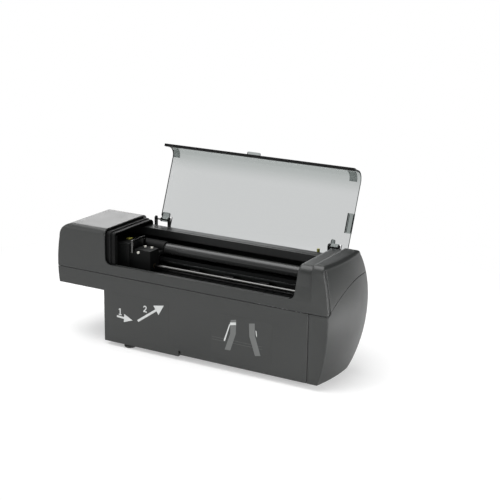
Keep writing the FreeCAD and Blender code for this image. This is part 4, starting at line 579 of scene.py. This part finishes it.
# %% Glow of the floor
PATCH_AT, PATCH_FULL, PATCH_END = (1.05, 0.35, 0), 0.15, 0.6
PATCH_GLOW, FLOOR_GLOW = 8.0, 0.38
away = add(paper, "ShaderNodeVectorMath", {"operation": "DISTANCE", 1: PATCH_AT},
           in_0=at.outputs["Position"])
patch = add(paper, "ShaderNodeMapRange",
            {"interpolation_type": "SMOOTHSTEP", "From Min": PATCH_FULL, "From Max": PATCH_END,
             "To Min": PATCH_GLOW, "To Max": FLOOR_GLOW}, Value=away.outputs["Value"])
lift = add(paper, "ShaderNodeEmission", {"Color": WHITE}, Strength=patch.outputs["Result"])
lit = add(paper, "ShaderNodeAddShader", in_0=matt.outputs["BSDF"], in_1=lift.outputs["Emission"])
plain_white = add(paper, "ShaderNodeEmission", {"Color": WHITE, "Strength": 1.0})
sweep = add(paper, "ShaderNodeMixShader", in_0=fade.outputs["Result"], in_1=lit.outputs["Shader"],
            in_2=plain_white.outputs["Emission"])
add(paper, "ShaderNodeOutputMaterial", Surface=sweep.outputs["Shader"])
floor_mesh.materials.append(paper)
print("glow", FLOOR_GLOW, "to", PATCH_GLOW)

# %% [markdown]
# The room round the machine is seen three ways. The camera, and the view through the lid, get pure white.
# Gloss gets a dim room, because bright walls would turn dark plastic grey. All other light comes evenly from
# the room and falls off from left to right, which tells the left faces from the right ones.

# %% Room light
LEFT_LIGHT, RIGHT_LIGHT, GLOSS_LIGHT = 0.5, 0.08, 0.14
LEFTMOST, RIGHTMOST = -1.0, 0.9    # sideways part of the direction
world = fresh(bpy.data.worlds.new("studio"))
bpy.context.scene.world = world
path = add(world, "ShaderNodeLightPath")
direction = add(world, "ShaderNodeTexCoord")
sideways = add(world, "ShaderNodeSeparateXYZ", Vector=direction.outputs["Generated"])
fall = add(world, "ShaderNodeMapRange",
           {"From Min": LEFTMOST, "From Max": RIGHTMOST, "To Min": LEFT_LIGHT, "To Max": RIGHT_LIGHT},
           Value=sideways.outputs["X"])
soft = add(world, "ShaderNodeBackground", {"Color": WHITE}, Strength=fall.outputs["Result"])
dim = add(world, "ShaderNodeBackground", {"Color": WHITE, "Strength": GLOSS_LIGHT})
bright = add(world, "ShaderNodeBackground", {"Color": WHITE, "Strength": 1.0})
looking = add(world, "ShaderNodeMath", {"operation": "MAXIMUM"}, in_0=path.outputs["Is Camera Ray"],
              in_1=path.outputs["Is Transmission Ray"])
room = add(world, "ShaderNodeMixShader", in_0=path.outputs["Is Glossy Ray"], in_1=soft.outputs["Background"],
           in_2=dim.outputs["Background"])
whole_world = add(world, "ShaderNodeMixShader", in_0=looking.outputs["Value"], in_1=room.outputs["Shader"],
                  in_2=bright.outputs["Background"])
add(world, "ShaderNodeOutputWorld", Surface=whole_world.outputs["Shader"])
print("room light", LEFT_LIGHT, "to", RIGHT_LIGHT)

# %% [markdown]
# Large soft lamps give wide, gentle highlights. The biggest hangs overhead. One at the front left opens up
# the front, and one behind on the left draws the rim of the left bay. A small low lamp on the right draws
# the ridge of the end cap. It stands so close that it would be in the picture, so it is hidden from the
# camera.

# %% Lamps
def studio_lamp(name, at, toward, size, watts):
    """A rectangle of the given width and height in metres that faces the point toward."""
    data = bpy.data.lights.new(name, "AREA")
    data.shape = "RECTANGLE"
    data.size, data.size_y = size
    data.energy = watts
    lamp = bpy.data.objects.new(name, data)
    lamp.location = at
    lamp.rotation_euler = (Vector(toward) - Vector(at)).to_track_quat("-Z", "Y").to_euler()
    bpy.context.collection.objects.link(lamp)
    return lamp


studio_lamp("overhead", at=(-0.5, -0.2, 2.6), toward=(0, 0, 0.1), size=(3.0, 2.4), watts=85)
studio_lamp("front_left", at=(-2.4, -2.0, 1.1), toward=(0, 0, 0.15), size=(1.2, 1.2), watts=16)
studio_lamp("rear_left", at=(-2.0, 2.2, 1.2), toward=(0, 0, 0.25), size=(2.0, 1.3), watts=28)
edge_lamp = studio_lamp("right_low", at=(0.95, -0.45, 0.06), toward=(0.32, -0.12, 0.14), size=(0.3, 0.6),
                        watts=7)
edge_lamp.visible_camera = False
print("lamps", len(bpy.data.lights))

# %% [markdown]
# Blender's usual view softens highlights, as film does, and so turns a white ground grey. The Standard view
# shows every tone as it is lit, which a cut-out on white needs.

# %% View settings
scene = bpy.context.scene
scene.view_settings.view_transform = "Standard"
print("view", scene.view_settings.view_transform)
